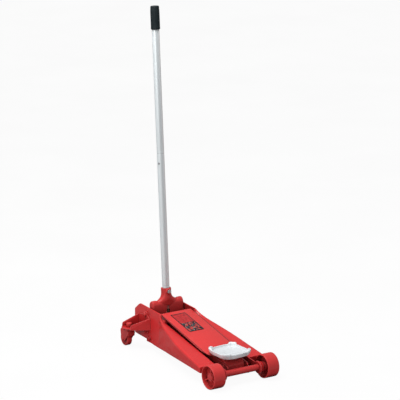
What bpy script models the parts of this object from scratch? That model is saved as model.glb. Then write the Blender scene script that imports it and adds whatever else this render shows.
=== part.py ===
"""Two-tonne trolley (floor) jack, built as an assembly of separate pieces.

World frame: metres, +X forward (the saddle end), +Y left, +Z up, the floor at z = 0.
Design frame used by every shape below: millimetres, with x = 0 on the front axle.
`put` turns a finished design-frame mesh into an object in the world frame.
The handle and its socket are drawn upright about the socket pivot, and an empty leans them back.
"""

import bmesh
import bpy
from math import atan2, cos, degrees, pi, radians, sin
from mathutils import Matrix, Vector

MM = 0.001
GAP = 0.3

# ---- driving dimensions, millimetres -------------------------------------------------------
AXLE_OFFSET = 324.0        # front axle ahead of the middle of the jack's length
WHEEL_RADIUS = 50.0
WHEEL_WIDTH = 54.4
WHEEL_OUTER_Y = 157.5      # half of the width over the front wheels
AXLE_RADIUS = 13.5
AXLE_END_RADIUS = 11.0

PLATE_INNER_Y = 81.0       # inner faces of the two side frames
PLATE_THICKNESS = 5.0
WEB_OUTER_Y = PLATE_INNER_Y + PLATE_THICKNESS

ARM_PIVOT = (-462.0, 143.0)
HEAD_PIN = (-50.0, 60.0)
ROD_OFFSET = (12.0, -27.0)         # from each arm pin to the parallel rod's pin
COVER_REAR_HALF = 77.0             # half-width at the cover's rear edge
COVER_FRONT_HALF = 80.0
COVER_REAR = (-495.0, 172.0)
COVER_FRONT = (-118.0, 91.0)
COVER_THICKNESS = 5.0
LABEL_X = (-471.0, -320.0)
LABEL_Y = (-41.0, 32.0)
ARM_PLATE_Y = (45.0, 51.0)
ROD_Y = (56.0, 62.0)
LEVER_LENGTH = 68.0
LEVER_ROLLER_RADIUS = 14.0

SADDLE_X = -81.0
SADDLE_TOP = 124.0
SADDLE_HALF_SIDE = 68.0
SADDLE_TURN = 3.0                  # degrees, the saddle rests slightly turned

SOCKET_PIVOT = (-565.5, 158.0)
HANDLE_LEAN = 3.8                  # degrees, back from upright
SOCKET_TOP = 99.0                  # along the handle, from the socket pivot
SOCKET_HALF_WIDTH = 76.5
CLAMP_HEIGHT = 85.5
HANDLE_TOP = 1297.0
HANDLE_JOINT = 678.0
TUBE_RADIUS = 15.5
TUBE_WALL = 2.5
BUTTON_RADIUS = 3.5
BUTTON_TURN = -64.0                # degrees about the handle, from +X
BUTTON_BELOW_JOINT = 42.0
BUTTON_STANDS_PROUD = 2.0
GRIP_LENGTH = 98.0
GRIP_RADIUS = 19.5
PUMP_ARM = 34.0                    # socket pivot to pump roller
PUMP_SWING = 65.0                  # degrees of handle travel
PUMP_ROLLER_RADIUS = 8.0
PUMP_Y = 30.0

CASTER_PIN = (-642.0, 141.0)
CASTER_TRAIL = 25.0
CASTER_RADIUS = 31.0
CASTER_WIDTH = 22.0
BRACKET_FLOOR = 84.0
BRACKET_THICKNESS = 5.0

RAM_Z = ARM_PIVOT[1] - LEVER_LENGTH
RAM_RADIUS = 15.0
BARREL_RADIUS = 42.0

RED = (0.62, 0.045, 0.04, 1.0)


# ---- scene and materials -------------------------------------------------------------------
def clear_scene():
    for obj in list(bpy.data.objects):
        bpy.data.objects.remove(obj, do_unlink=True)


def material(name, colour, roughness, metallic):
    made = bpy.data.materials.new(name)
    made.use_nodes = True
    shader = made.node_tree.nodes["Principled BSDF"]
    shader.inputs["Base Color"].default_value = colour
    shader.inputs["Roughness"].default_value = roughness
    shader.inputs["Metallic"].default_value = metallic
    return made


def red_paint(name):
    return material(name, RED, 0.38, 0.0)


def steel(name):
    return material(name, (0.55, 0.56, 0.58, 1.0), 0.35, 1.0)


# ---- mesh helpers, all in the design frame ---------------------------------------------------
def arc(centre, radius, start, end, steps):
    """Points on an arc from start to end degrees, both ends included."""
    points = []
    for i in range(steps + 1):
        angle = radians(start + (end - start) * i / steps)
        points.append((centre[0] + radius * cos(angle), centre[1] + radius * sin(angle)))
    return points


def outward(mesh):
    bmesh.ops.recalc_face_normals(mesh, faces=mesh.faces)
    return mesh


def extruded(corners, travel):
    """A closed solid: the polygon through corners, swept along travel."""
    mesh = bmesh.new()
    face = mesh.faces.new([mesh.verts.new(corner) for corner in corners])
    swept = bmesh.ops.extrude_face_region(mesh, geom=[face])
    moved = [item for item in swept["geom"] if isinstance(item, bmesh.types.BMVert)]
    bmesh.ops.translate(mesh, verts=moved, vec=travel)
    return outward(mesh)


def side_profile(outline, y0, y1):
    """A plate standing along the jack: an (x, z) outline between y0 and y1."""
    return extruded([(x, y0, z) for x, z in outline], (0, y1 - y0, 0))


def slab(outline, z0, z1):
    """A flat plate: an (x, y) outline between z0 and z1."""
    return extruded([(x, y, z0) for x, y in outline], (0, 0, z1 - z0))


def block(x0, x1, y0, y1, z0, z1):
    return slab([(x0, y0), (x1, y0), (x1, y1), (x0, y1)], z0, z1)


def hexagon(radius):
    return arc((0, 0), radius, 0, 300, 5)


def turned(profile, segments=16):
    """A (radius, height) profile spun about Z. It either closes on itself or ends on the axis."""
    mesh = bmesh.new()
    points = [mesh.verts.new((radius, 0, height)) for radius, height in profile]
    ends_on_axis = profile[0][0] == 0 and profile[-1][0] == 0
    edges = [mesh.edges.new(pair) for pair in zip(points, points[1:])]
    if not ends_on_axis:
        edges.append(mesh.edges.new((points[-1], points[0])))
    bmesh.ops.spin(mesh, geom=points + edges, cent=(0, 0, 0), axis=(0, 0, 1),
                   angle=2 * pi, steps=segments, use_merge=True)
    bmesh.ops.remove_doubles(mesh, verts=mesh.verts, dist=0.0005)
    return outward(mesh)


def along(mesh, start, direction):
    """Stand a mesh drawn about +Z on start, pointing along direction."""
    turn = Vector((0, 0, 1)).rotation_difference(Vector(direction)).to_matrix().to_4x4()
    mesh.transform(Matrix.Translation(start) @ turn)
    return outward(mesh)


def rod(radius, start, end, segments=16, chamfer=0.0):
    """A round bar from start to end."""
    axis = Vector(end) - Vector(start)
    length = axis.length
    if chamfer:
        profile = [(0, 0), (radius - chamfer, 0), (radius, chamfer),
                   (radius, length - chamfer), (radius - chamfer, length), (0, length)]
    else:
        profile = [(0, 0), (radius, 0), (radius, length), (0, length)]
    return along(turned(profile, segments), start, axis)


def cross_rod(radius, place, y0, y1, segments=16, chamfer=0.0):
    """A round bar across the jack at place = (x, z)."""
    return rod(radius, (place[0], y0, place[1]), (place[0], y1, place[1]), segments, chamfer)


def ring(inner, outer, start, end, segments=16):
    axis = Vector(end) - Vector(start)
    length = axis.length
    profile = [(inner, 0), (outer, 0), (outer, length), (inner, length)]
    return along(turned(profile, segments), start, axis)


def bolt(start, direction, shank_radius, shank_length, head_radius, head_height):
    """A hex bolt: its shank runs from start against direction, its head along it."""
    head = slab(hexagon(head_radius), 0, head_height)
    shank = rod(shank_radius, (0, 0, -shank_length), (0, 0, head_height / 2), 12)
    return along(joined(head, shank), start, direction)


def lofted(sections):
    """A closed solid through sections, lists of equally many points in order."""
    mesh = bmesh.new()
    loops = [[mesh.verts.new(point) for point in section] for section in sections]
    count = len(loops[0])
    for near, far in zip(loops, loops[1:]):
        for i in range(count):
            j = (i + 1) % count
            mesh.faces.new((near[i], near[j], far[j], far[i]))
    mesh.faces.new(loops[0])
    mesh.faces.new(loops[-1])
    bmesh.ops.triangulate(mesh, faces=mesh.faces)
    return outward(mesh)


def temporary(mesh):
    bmesh.ops.triangulate(mesh, faces=mesh.faces)
    data = bpy.data.meshes.new("temporary")
    mesh.to_mesh(data)
    mesh.free()
    obj = bpy.data.objects.new("temporary", data)
    bpy.context.scene.collection.objects.link(obj)
    return obj


def combined(base, tools, operation, solver="EXACT"):
    """The base mesh after one Boolean with each tool mesh."""
    subject = temporary(base)
    others = [temporary(tool) for tool in tools]
    for other in others:
        modifier = subject.modifiers.new("combine", "BOOLEAN")
        modifier.operation = operation
        modifier.solver = solver
        modifier.object = other
    result = bmesh.new()
    result.from_object(subject, bpy.context.evaluated_depsgraph_get())
    for obj in [subject, *others]:
        data = obj.data
        bpy.data.objects.remove(obj, do_unlink=True)
        bpy.data.meshes.remove(data)
    bmesh.ops.dissolve_limit(result, angle_limit=radians(0.1), verts=result.verts, edges=result.edges)
    return result


def joined(base, *tools, solver="EXACT"):
    return combined(base, tools, "UNION", solver)


def cut(base, *tools, solver="EXACT"):
    return combined(base, tools, "DIFFERENCE", solver)


def mirrored(mesh):
    """The same mesh on the other side of the jack."""
    mesh.transform(Matrix.Diagonal((1, -1, 1, 1)))
    bmesh.ops.reverse_faces(mesh, faces=mesh.faces)
    return mesh


def world(point):
    return Vector((point[0] + AXLE_OFFSET, point[1], point[2])) * MM


def put(name, mesh, paint, origin=(0, 0, 0), parent=None):
    """Make the object. Its origin goes to a design-frame point, or it hangs on a parent empty."""
    mesh.transform(Matrix.Scale(MM, 4) @ Matrix.Translation(-Vector(origin)))
    data = bpy.data.meshes.new(name)
    mesh.to_mesh(data)
    mesh.free()
    data.shade_smooth()
    data.set_sharp_from_angle(angle=radians(35))
    data.materials.append(paint)
    obj = bpy.data.objects.new(name, data)
    bpy.context.scene.collection.objects.link(obj)
    if parent is None:
        obj.location = world(origin)
    else:
        obj.location = Vector(origin) * MM
        obj.parent = parent
    return obj


def pair(name, build, paint, origin=(0, 0, 0)):
    """A left piece from build(), and its mirror image on the right."""
    put(name + "_left", build(), paint, origin)
    put(name + "_right", mirrored(build()), paint, (origin[0], -origin[1], origin[2]))


def rod_pin(pin):
    """The parallel rod's pin that belongs to an arm pin."""
    return (pin[0] + ROD_OFFSET[0], pin[1] + ROD_OFFSET[1])


# ---- side frames -----------------------------------------------------------------------------
# Stations along a side frame: x, height of the deck's inner edge, height of its outer edge,
# half-width at the shoulder, shoulder radius, half-width and height of the crease above the
# skirt, half-width and height of the bottom edge.
FRAME_STATIONS = [
    (-688, 150, 150, 85.6, 1, 86, 90, 85.6, 42),
    (-646, 183, 183, 85.6, 1, 86, 88, 85.6, 40),
    (-592, 181, 181, 85.6, 1, 86, 84, 85.6, 38),
    (-590, 181, 181, 85.6, 1, 86, 80, 85.7, 28),
    (-552, 179.5, 179.5, 85.7, 1, 86, 76, 85.8, 28.5),
    (-520, 178, 178, 86.2, 1, 89, 74, 91.5, 29),
    (-478, 176.5, 176.5, 87, 2, 94, 70, 97, 30.5),
    (-472, 158, 171, 94, 5, 97, 69, 98, 31),
    (-452, 148, 160, 101, 8, 102, 68, 100.5, 32),
    (-410, 139, 145, 114, 9, 112, 67, 106, 34),
    (-350, 128, 131, 127, 10, 122, 66, 114, 36),
    (-267, 112, 113, 142, 10, 134, 65, 125, 39.5),
    (-158, 91.5, 92.5, 152, 10, 145, 63, 140, 44),
    (-66, 74, 75, 156, 8, 154, 60, 153, 48),
]
CAVITY_START = -460
CAVITY_END = -71


def station_at(x):
    """The frame's station at x, straight between its neighbours."""
    for near, far in zip(FRAME_STATIONS, FRAME_STATIONS[1:]):
        if near[0] <= x <= far[0]:
            share = (x - near[0]) / (far[0] - near[0])
            return [a + (b - a) * share for a, b in zip(near, far)]
    raise ValueError("x is off the frame")


def frame_section(station, inset, drop):
    """Closed (y, z) section of a station, moved inwards by inset, open by drop at the bottom."""
    x, z_inner, z_outer, y_top, radius, y_crease, z_crease, y_low, z_low = station
    inner = PLATE_INNER_Y + inset
    shoulder = [
        (y_top - radius - inset * 0.4, z_outer - inset),
        (y_top - radius * 0.3 - inset * 0.7, z_outer - radius * 0.3 - inset * 0.7),
        (y_top - inset, z_outer - radius - inset * 0.4),
    ]
    section = [(inner, z_low - drop), (inner, z_inner - inset), *shoulder,
               (y_crease - inset, z_crease), (y_low - inset, z_low - drop)]
    return [(x, y, z) for y, z in section]


def horn_outline():
    """The plate that carries the front axle ahead of the deck."""
    boss = arc((0, WHEEL_RADIUS), 25, -75, 75, 6)
    return [(-90, 50), (-60, 36), *boss, (-60, 72), (-90, 76)]


def side_frame():
    shell = lofted([frame_section(station, 0, 0) for station in FRAME_STATIONS])
    stations = [station_at(CAVITY_START)]
    stations += [s for s in FRAME_STATIONS if CAVITY_START < s[0] < CAVITY_END]
    stations.append(station_at(CAVITY_END))
    cavity = lofted([frame_section(s, PLATE_THICKNESS, 4) for s in stations])
    horn = side_profile(horn_outline(), PLATE_INNER_Y + 0.2, WEB_OUTER_Y - 0.2)
    boss = cross_rod(22, (0, WHEEL_RADIUS), PLATE_INNER_Y + 1, 101, 20)
    body = joined(cut(shell, cavity, solver="MANIFOLD"), horn, boss, solver="MANIFOLD")
    holes = [
        cross_rod(AXLE_RADIUS + GAP, (0, WHEEL_RADIUS), 70, 110, 20),
        cross_rod(12 + GAP, ARM_PIVOT, 70, 120),
        cross_rod(7 + GAP, rod_pin(ARM_PIVOT), 70, 120, 12),
        cross_rod(9 + GAP, SOCKET_PIVOT, 70, 100),
    ]
    holes += [cross_rod(5 + GAP, place, 70, 100, 10) for place in (BRACKET_BOLT, *UNIT_BOLTS)]
    return cut(body, *holes, solver="MANIFOLD")


BRACKET_BOLT = (-592.0, 147.0)
UNIT_BOLTS = [(-590.0, 74.0), (-566.0, 47.0)]      # the first also holds the bracket


def frame_pieces():
    pair("side_frame", side_frame, red_paint("frame_paint"))
    profile = [(0, -150), (AXLE_END_RADIUS - 1, -150), (AXLE_END_RADIUS, -149),
               (AXLE_END_RADIUS, -101.6), (AXLE_RADIUS, -101.6), (AXLE_RADIUS, 101.6),
               (AXLE_END_RADIUS, 101.6), (AXLE_END_RADIUS, 149), (AXLE_END_RADIUS - 1, 150), (0, 150)]
    axle = along(turned(profile, 20), (0, 0, WHEEL_RADIUS), (0, 1, 0))
    put("front_axle", axle, red_paint("axle_paint"))
    put("arm_pivot_shaft", cross_rod(12, ARM_PIVOT, -99, 99), steel("shaft_steel"))
    anchor = rod_pin(ARM_PIVOT)
    pair("rod_anchor_pin", lambda: cross_rod(7, anchor, ROD_Y[0] - 2, 103, 12),
         steel("anchor_steel"))
    pair("socket_pivot_pin", lambda: cross_rod(9, SOCKET_PIVOT, 50, WEB_OUTER_Y - 0.3),
         red_paint("pivot_pin_paint"))


# ---- front wheels ----------------------------------------------------------------------------
def front_wheel():
    """Cast wheel: a rim, a deep web between two recesses, three ribs and a bored hub."""
    half = WHEEL_WIDTH / 2
    hub_face = half - 11
    profile = [
        (AXLE_END_RADIUS + GAP, -half + 1.5), (19, -half + 1.5), (19, -5), (44, -4), (44, -half),
        (WHEEL_RADIUS - 2, -half), (WHEEL_RADIUS, -half + 2), (WHEEL_RADIUS, half - 2),
        (WHEEL_RADIUS - 2, half), (44, half), (44, 4), (19, 5), (19, hub_face),
        (AXLE_END_RADIUS + GAP, hub_face),
    ]
    wheel = turned(profile, 24)
    ribs = []
    for i in range(3):
        rib = block(17, 46, -3, 3, -14, hub_face - 4)
        rib.transform(Matrix.Rotation(radians(120 * i + 30), 4, "Z"))
        ribs.append(rib)
    wheel = joined(wheel, *ribs)
    wheel.transform(Matrix.Rotation(radians(-90), 4, "X"))
    wheel.transform(Matrix.Translation((0, WHEEL_OUTER_Y - half, WHEEL_RADIUS)))
    return wheel


def wheel_retainer():
    """The collar pressed on the axle's end, which keeps the wheel on."""
    hub_face = WHEEL_OUTER_Y - 11
    return ring(AXLE_END_RADIUS + GAP, 15.5, (0, hub_face + GAP, WHEEL_RADIUS),
                (0, hub_face + 3, WHEEL_RADIUS))


def wheel_pieces():
    centre = (0, WHEEL_OUTER_Y - WHEEL_WIDTH / 2, WHEEL_RADIUS)
    pair("front_wheel", front_wheel, red_paint("wheel_paint"), centre)
    pair("wheel_retainer", wheel_retainer, red_paint("retainer_paint"))


# ---- lift arm --------------------------------------------------------------------------------
def cover_height(x):
    share = (x - COVER_REAR[0]) / (COVER_FRONT[0] - COVER_REAR[0])
    return COVER_REAR[1] + (COVER_FRONT[1] - COVER_REAR[1]) * share


def cover_plate():
    """The sloping top plate, with its front corners cut round the saddle."""
    rear = COVER_REAR_HALF
    half = COVER_FRONT_HALF
    front = COVER_FRONT[0]
    plan = [(COVER_REAR[0], -rear), (front - 45, -half), (front - 14, -half + 12),
            (front, -half + 35), (front, half - 35), (front - 14, half - 12),
            (front - 45, half), (COVER_REAR[0], rear)]
    plate = slab(plan, -COVER_THICKNESS, 0)
    for vert in plate.verts:
        vert.co.z += cover_height(vert.co.x)
    return plate


def arm_plate(side):
    """One side plate of the arm, from the rear pivot to the head pin."""
    lower_rear = arc(ARM_PIVOT, 24, 120, 260, 6)
    nose = [*arc(HEAD_PIN, 15, 235, 275, 2), *arc((HEAD_PIN[0] + 17, HEAD_PIN[1] - 2), 14, 280, 440, 6)]
    top = [(COVER_FRONT[0] + 8, cover_height(COVER_FRONT[0]) - 5),
           (COVER_FRONT[0] - 4, cover_height(COVER_FRONT[0]) - 2.5),
           (ARM_PIVOT[0], cover_height(ARM_PIVOT[0]) - 2.5)]
    outline = lower_rear + [(-300, 72)] + nose + top
    y0, y1 = (side * y for y in ARM_PLATE_Y)
    return side_profile(outline, y0, y1)


def lever_plate(side):
    foot = (ARM_PIVOT[0], RAM_Z)
    outline = arc(foot, 14, 180, 360, 6) + arc(ARM_PIVOT, 20, 20, 160, 4)
    return side_profile(outline, side * 16.0, side * 24.0)


def lift_arm():
    sleeve = cross_rod(16.5, ARM_PIVOT, -51, 51)
    spacer = cross_rod(10, (-150, 66), -47, 47, 12)
    arm = joined(cover_plate(), arm_plate(1), arm_plate(-1), sleeve, spacer,
                 lever_plate(1), lever_plate(-1))
    return cut(
        arm,
        cross_rod(12 + GAP, ARM_PIVOT, -90, 90),
        cross_rod(8 + GAP, HEAD_PIN, -90, 90, 12),
        cross_rod(6 + GAP, (ARM_PIVOT[0], RAM_Z), -40, 40, 12),
    )


def label_plate():
    """A thin blank plate on the cover."""
    plate = block(*LABEL_X, *LABEL_Y, GAP, GAP + 1)
    for vert in plate.verts:
        vert.co.z += cover_height(vert.co.x)
    return plate


def arm_pieces():
    pivot = (ARM_PIVOT[0], 0, ARM_PIVOT[1])
    foot = (ARM_PIVOT[0], RAM_Z)
    put("lift_arm", lift_arm(), red_paint("arm_paint"), pivot)
    put("label_plate", label_plate(), material("label_ink", (0.05, 0.06, 0.06, 1), 0.5, 0.0), pivot)
    roller = ring(6 + GAP, LEVER_ROLLER_RADIUS, (foot[0], -15, foot[1]), (foot[0], 15, foot[1]))
    put("lever_roller", roller, steel("roller_steel"), pivot)
    put("lever_roller_pin", cross_rod(6, foot, -26, 26, 12), steel("roller_pin_steel"), pivot)
    put("head_pin", cross_rod(8, HEAD_PIN, -53, 53, 12), steel("head_pin_steel"), pivot)


# ---- saddle, its carrier and the parallel rods --------------------------------------------------
def saddle_carrier():
    low = rod_pin(HEAD_PIN)
    outline = [(-102, 92), (-104, 80), (-98, 50), *arc(low, 12, 220, 340, 6), (-35, 56), (-36, 66),
               (-61, 92)]
    body = side_profile(outline, -44, 44)
    return cut(
        body,
        rod(12 + GAP, (SADDLE_X, 0, 76), (SADDLE_X, 0, 130)),
        cross_rod(8 + GAP, HEAD_PIN, -60, 60, 12),
        cross_rod(6 + GAP, low, -60, 60, 12),
    )


def saddle_outline(half, corner, steps):
    """A square with round corners."""
    points = []
    for i, (sx, sy) in enumerate(((1, 1), (-1, 1), (-1, -1), (1, -1))):
        centre = (sx * (half - corner), sy * (half - corner))
        points += arc(centre, corner, 90 * i, 90 * i + 90, steps)
    return points


def saddle():
    """A square cast dish with a lug at each corner, on a stem."""
    half = SADDLE_HALF_SIDE
    floor = SADDLE_TOP - 14
    levels = [(0.72, floor - 12.5), (0.93, floor - 9), (0.99, floor - 1), (1.0, floor + 7),
              (0.93, floor + 7.5), (0.89, floor)]
    sections = []
    for share, height in levels:
        ring_points = saddle_outline(half * share, half * share * 0.5, 4)
        sections.append([(x, y, height) for x, y in ring_points])
    dish = lofted(sections)
    lugs = []
    for i in range(4):
        lug = lofted([
            [(62, -20, floor - 2), (85, -17, floor), (85, 17, floor), (62, 20, floor - 2)],
            [(74, -14, SADDLE_TOP), (87, -12, SADDLE_TOP), (87, 12, SADDLE_TOP), (74, 14, SADDLE_TOP)],
        ])
        lug.transform(Matrix.Rotation(radians(45 + 90 * i), 4, "Z"))
        lugs.append(lug)
    stem = rod(12, (0, 0, 78), (0, 0, floor - 4))
    whole = joined(dish, *lugs, stem)
    whole.transform(Matrix.Translation((SADDLE_X, 0, 0)) @ Matrix.Rotation(radians(SADDLE_TURN), 4, "Z"))
    return whole


def radius_rod():
    """A flat bar from the frame's anchor pin to the carrier's lower pin."""
    rear = rod_pin(ARM_PIVOT)
    front = rod_pin(HEAD_PIN)
    slope = degrees(atan2(front[1] - rear[1], front[0] - rear[0]))
    outline = arc(rear, 13, slope + 90, slope + 270, 6) + arc(front, 13, slope - 90, slope + 90, 6)
    return cut(
        side_profile(outline, *ROD_Y),
        cross_rod(7 + GAP, rear, 40, 80, 12),
        cross_rod(6 + GAP, front, 40, 80, 12),
    )


def head_pieces():
    head = (HEAD_PIN[0], 0, HEAD_PIN[1])
    low = rod_pin(HEAD_PIN)
    anchor = rod_pin(ARM_PIVOT)
    put("saddle_carrier", saddle_carrier(), red_paint("carrier_paint"), head)
    put("rod_head_pin", cross_rod(6, low, -65, 65, 12), steel("rod_pin_steel"), head)
    put("saddle", saddle(), material("saddle_zinc", (0.86, 0.88, 0.9, 1), 0.35, 0.2),
        (SADDLE_X, 0, SADDLE_TOP))
    pair("radius_rod", radius_rod, red_paint("rod_paint"), (anchor[0], 0, anchor[1]))


# ---- hydraulic unit ----------------------------------------------------------------------------
PLUNGER_X = SOCKET_PIVOT[0] - PUMP_ARM * cos(radians(PUMP_SWING / 4))
ROLLER_RISE = PUMP_ARM * sin(radians(PUMP_SWING / 2))
PLUNGER_TOP = SOCKET_PIVOT[1] + ROLLER_RISE - PUMP_ROLLER_RADIUS - 0.9
UNIT_TOP = 104.0
BARREL_FRONT = -500.0
UNIT_FRONT = -545.0
UNIT_REAR = -655.0
CROSSHEAD_FACE = ARM_PIVOT[0] - LEVER_ROLLER_RADIUS - GAP


def power_unit():
    """The cast block: mounting ears, the pump's bore, the valve's bore and the ram's bore."""
    body = slab([(UNIT_REAR, -44), (UNIT_FRONT, -56), (UNIT_FRONT, 56), (UNIT_REAR, 44)], 44, UNIT_TOP)
    ears = block(-604, -552, -PLATE_INNER_Y + GAP, PLATE_INNER_Y - GAP, 40, 88)
    turret = rod(15, (PLUNGER_X, PUMP_Y, 90), (PLUNGER_X, PUMP_Y, 112))
    collar = rod(13, (SOCKET_PIVOT[0], 0, 90), (SOCKET_PIVOT[0], 0, 112))
    body = joined(body, ears, turret, collar)
    holes = [
        rod(7 + GAP, (PLUNGER_X, PUMP_Y, 52), (PLUNGER_X, PUMP_Y, 120)),
        rod(6 + GAP, (SOCKET_PIVOT[0], 0, 88), (SOCKET_PIVOT[0], 0, 120), 12),
        rod(9, (-636, -24, 92), (-636, -24, 120), 12),
        rod(20, (-640, 0, RAM_Z), (-540, 0, RAM_Z)),
    ]
    for x, z in UNIT_BOLTS:
        holes.append(cross_rod(5 + GAP, (x, z), 66, 90, 10))
        holes.append(cross_rod(5 + GAP, (x, z), -90, -66, 10))
    return cut(body, *holes, solver="MANIFOLD")


def reservoir():
    """The round tank ahead of the block, round the ram."""
    profile = [(RAM_RADIUS + 5, 0), (BARREL_RADIUS, 0), (BARREL_RADIUS, 40), (BARREL_RADIUS - 5, 45 - GAP),
               (RAM_RADIUS + 5, 45 - GAP)]
    return along(turned(profile, 24), (UNIT_FRONT + GAP, 0, RAM_Z), (1, 0, 0))


def pump_spring():
    """A coil spring round the plunger, from the turret to the plunger's cap."""
    bottom = 112 + 1.9
    top = PLUNGER_TOP - 5 - 1.9
    coil_radius = 10.0
    wire = 1.25
    turns = 5
    per_turn = 10
    curve = []
    for i in range(turns * per_turn + 1):
        angle = 2 * pi * i / per_turn
        height = bottom + (top - bottom) * i / (turns * per_turn)
        curve.append(Vector((coil_radius * cos(angle), coil_radius * sin(angle), height)))
    sections = []
    for i, point in enumerate(curve):
        out = Vector((point.x, point.y, 0)).normalized()
        sections.append([point + out * wire * cos(a) + Vector((0, 0, wire * sin(a)))
                         for a in (0.0, pi / 2, pi, 3 * pi / 2)])
    mesh = lofted(sections)
    mesh.transform(Matrix.Translation((PLUNGER_X, PUMP_Y, 0)))
    return mesh


def plunger():
    profile = [(0, 96), (7, 96), (7, PLUNGER_TOP - 5), (12.5, PLUNGER_TOP - 5), (12.5, PLUNGER_TOP - 1),
               (11, PLUNGER_TOP), (0, PLUNGER_TOP)]
    return along(turned(profile, 16), (PLUNGER_X, PUMP_Y, 0), (0, 0, 1))


def ram_pieces():
    back = -632.0
    axis = (0, RAM_Z)
    length = CROSSHEAD_FACE - 6 - back
    profile = [(0, 0), (19.5, 0), (19.5, 16), (RAM_RADIUS, 16), (RAM_RADIUS, length), (0, length)]
    ram = along(turned(profile, 16), (back, *axis), (1, 0, 0))
    origin = (CROSSHEAD_FACE, *axis)
    crosshead = block(CROSSHEAD_FACE - 11, CROSSHEAD_FACE, -14, 14, RAM_Z - 15, RAM_Z + 48)
    cup = rod(RAM_RADIUS + GAP, (CROSSHEAD_FACE - 30, *axis), (CROSSHEAD_FACE - 6 + GAP, *axis))
    collar = rod(RAM_RADIUS + 4, (CROSSHEAD_FACE - 20, *axis), (CROSSHEAD_FACE - 8, *axis))
    put("ram", ram, steel("ram_chrome"), origin)
    put("ram_crosshead", cut(joined(crosshead, collar), cup), red_paint("crosshead_paint"), origin)
    gland = ring(RAM_RADIUS + GAP, RAM_RADIUS + 4.6, (BARREL_FRONT - 18, *axis),
                 (BARREL_FRONT + 3, *axis))
    put("ram_gland_nut", gland, steel("gland_steel"))


def universal_fork(shaft_length):
    """A fork about the origin: two ears on +-X, a base below, and a shaft under it."""
    base = rod(12.5, (0, 0, -26), (0, 0, -22), 16)
    ears = [block(sx * 9 - (3 if sx < 0 else 0), sx * 9 + (3 if sx > 0 else 0), -4, 4, -23, 5)
            for sx in (-1, 1)]
    shaft = rod(6, (0, 0, -26 - shaft_length), (0, 0, -24), 12)
    return joined(base, *ears, shaft)


def hydraulic_pieces():
    joint = (SOCKET_PIVOT[0], 0, SOCKET_PIVOT[1])
    put("power_unit", power_unit(), red_paint("unit_paint"))
    put("reservoir", reservoir(), red_paint("reservoir_paint"))
    ram_pieces()
    plug = bolt((-636, -24, UNIT_TOP + GAP), (0, 0, 1), 8.6, 9, 11, 6)
    put("filler_plug", plug, material("plug_rubber", (0.02, 0.02, 0.02, 1), 0.6, 0.0))
    put("pump_plunger", plunger(), steel("plunger_steel"), (PLUNGER_X, PUMP_Y, PLUNGER_TOP))
    put("pump_spring", pump_spring(), steel("spring_steel"), (PLUNGER_X, PUMP_Y, 112))
    spindle = universal_fork(joint[2] - 26 - 97)
    spindle.transform(Matrix.Translation(joint))
    put("release_spindle", spindle, steel("spindle_steel"), joint)
    cross = along(turned([(0, -7), *arc((0, 0), 7, -60, 60, 4), (0, 7)], 12), joint, (0, 0, 1))
    put("universal_cross", cross, steel("cross_steel"), joint)


def frame_bolt(place, y, length):
    """A hex bolt through a side frame at (x, z), its head on the face at y."""
    return bolt((place[0], y, place[1]), (0, 1, 0), 5, length, 10, 6.5)


# ---- casters -----------------------------------------------------------------------------------
def bracket():
    """A channel that tapers outwards: a floor, two gussets and a plate bolted to the frame."""
    inner = WEB_OUTER_Y + GAP
    wall = inner + BRACKET_THICKNESS
    top = BRACKET_FLOOR + BRACKET_THICKNESS
    tip = CASTER_PIN[1] + 18
    rear_line = ((-650, wall - 2), (-672, tip))
    front_line = ((-557, wall - 2), (-602, tip))
    nose = arc(CASTER_PIN, 33, 34, 146, 6)
    floor = slab([rear_line[0], front_line[0], front_line[1], *nose, rear_line[1]], BRACKET_FLOOR, top)
    lower_tab = [(-604, BRACKET_FLOOR), *arc(UNIT_BOLTS[0], 14, 180, 360, 6), (-576, BRACKET_FLOOR)]
    upper_tab = arc(BRACKET_BOLT, 15, 0, 180, 6)
    plate = side_profile([(-650, BRACKET_FLOOR), *lower_tab, (-563, BRACKET_FLOOR), (-563, 139), *upper_tab,
                          (-650, 139)], inner, wall)
    gussets = []
    for (start, end), inward, end_top in ((rear_line, 5, 103), (front_line, -5, 105)):
        foot = [start, end, (end[0] + inward, end[1]), (start[0] + inward, start[1])]
        heights = (138, end_top, end_top, 138)
        low = [(x, y, BRACKET_FLOOR + 1) for x, y in foot]
        high = [(x, y, z) for (x, y), z in zip(foot, heights)]
        gussets.append(lofted([low, high]))
    body = joined(floor, plate, *gussets)
    holes = [rod(8 + GAP, (*CASTER_PIN, 70), (*CASTER_PIN, 110))]
    holes += [cross_rod(5 + GAP, place, 80, 110, 10) for place in (BRACKET_BOLT, UNIT_BOLTS[0])]
    return cut(body, *holes)


def kingpin():
    """Pivot of a caster, with its round cap above the bracket and a head under the fork."""
    top = BRACKET_FLOOR + BRACKET_THICKNESS + GAP
    profile = [(0, 63), (12, 63), (12, 68 - GAP), (8, 68 - GAP), (8, top), (13.5, top), (13.5, top + 13),
               (11, top + 17), (6, top + 18.5), (0, top + 18.5)]
    return along(turned(profile), (*CASTER_PIN, 0), (0, 0, 1))


def fork_leg(side):
    x, _ = CASTER_PIN
    axle = (x - CASTER_TRAIL, CASTER_RADIUS)
    outline = [(x + 18, 73), (x + 19, 60), *arc(axle, 13, 320, 200, 6), (x - 46, 60), (x - 44, 73)]
    y = CASTER_PIN[1] + side * (CASTER_WIDTH / 2 + 2)
    return side_profile(outline, y, y + side * 4)


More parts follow.
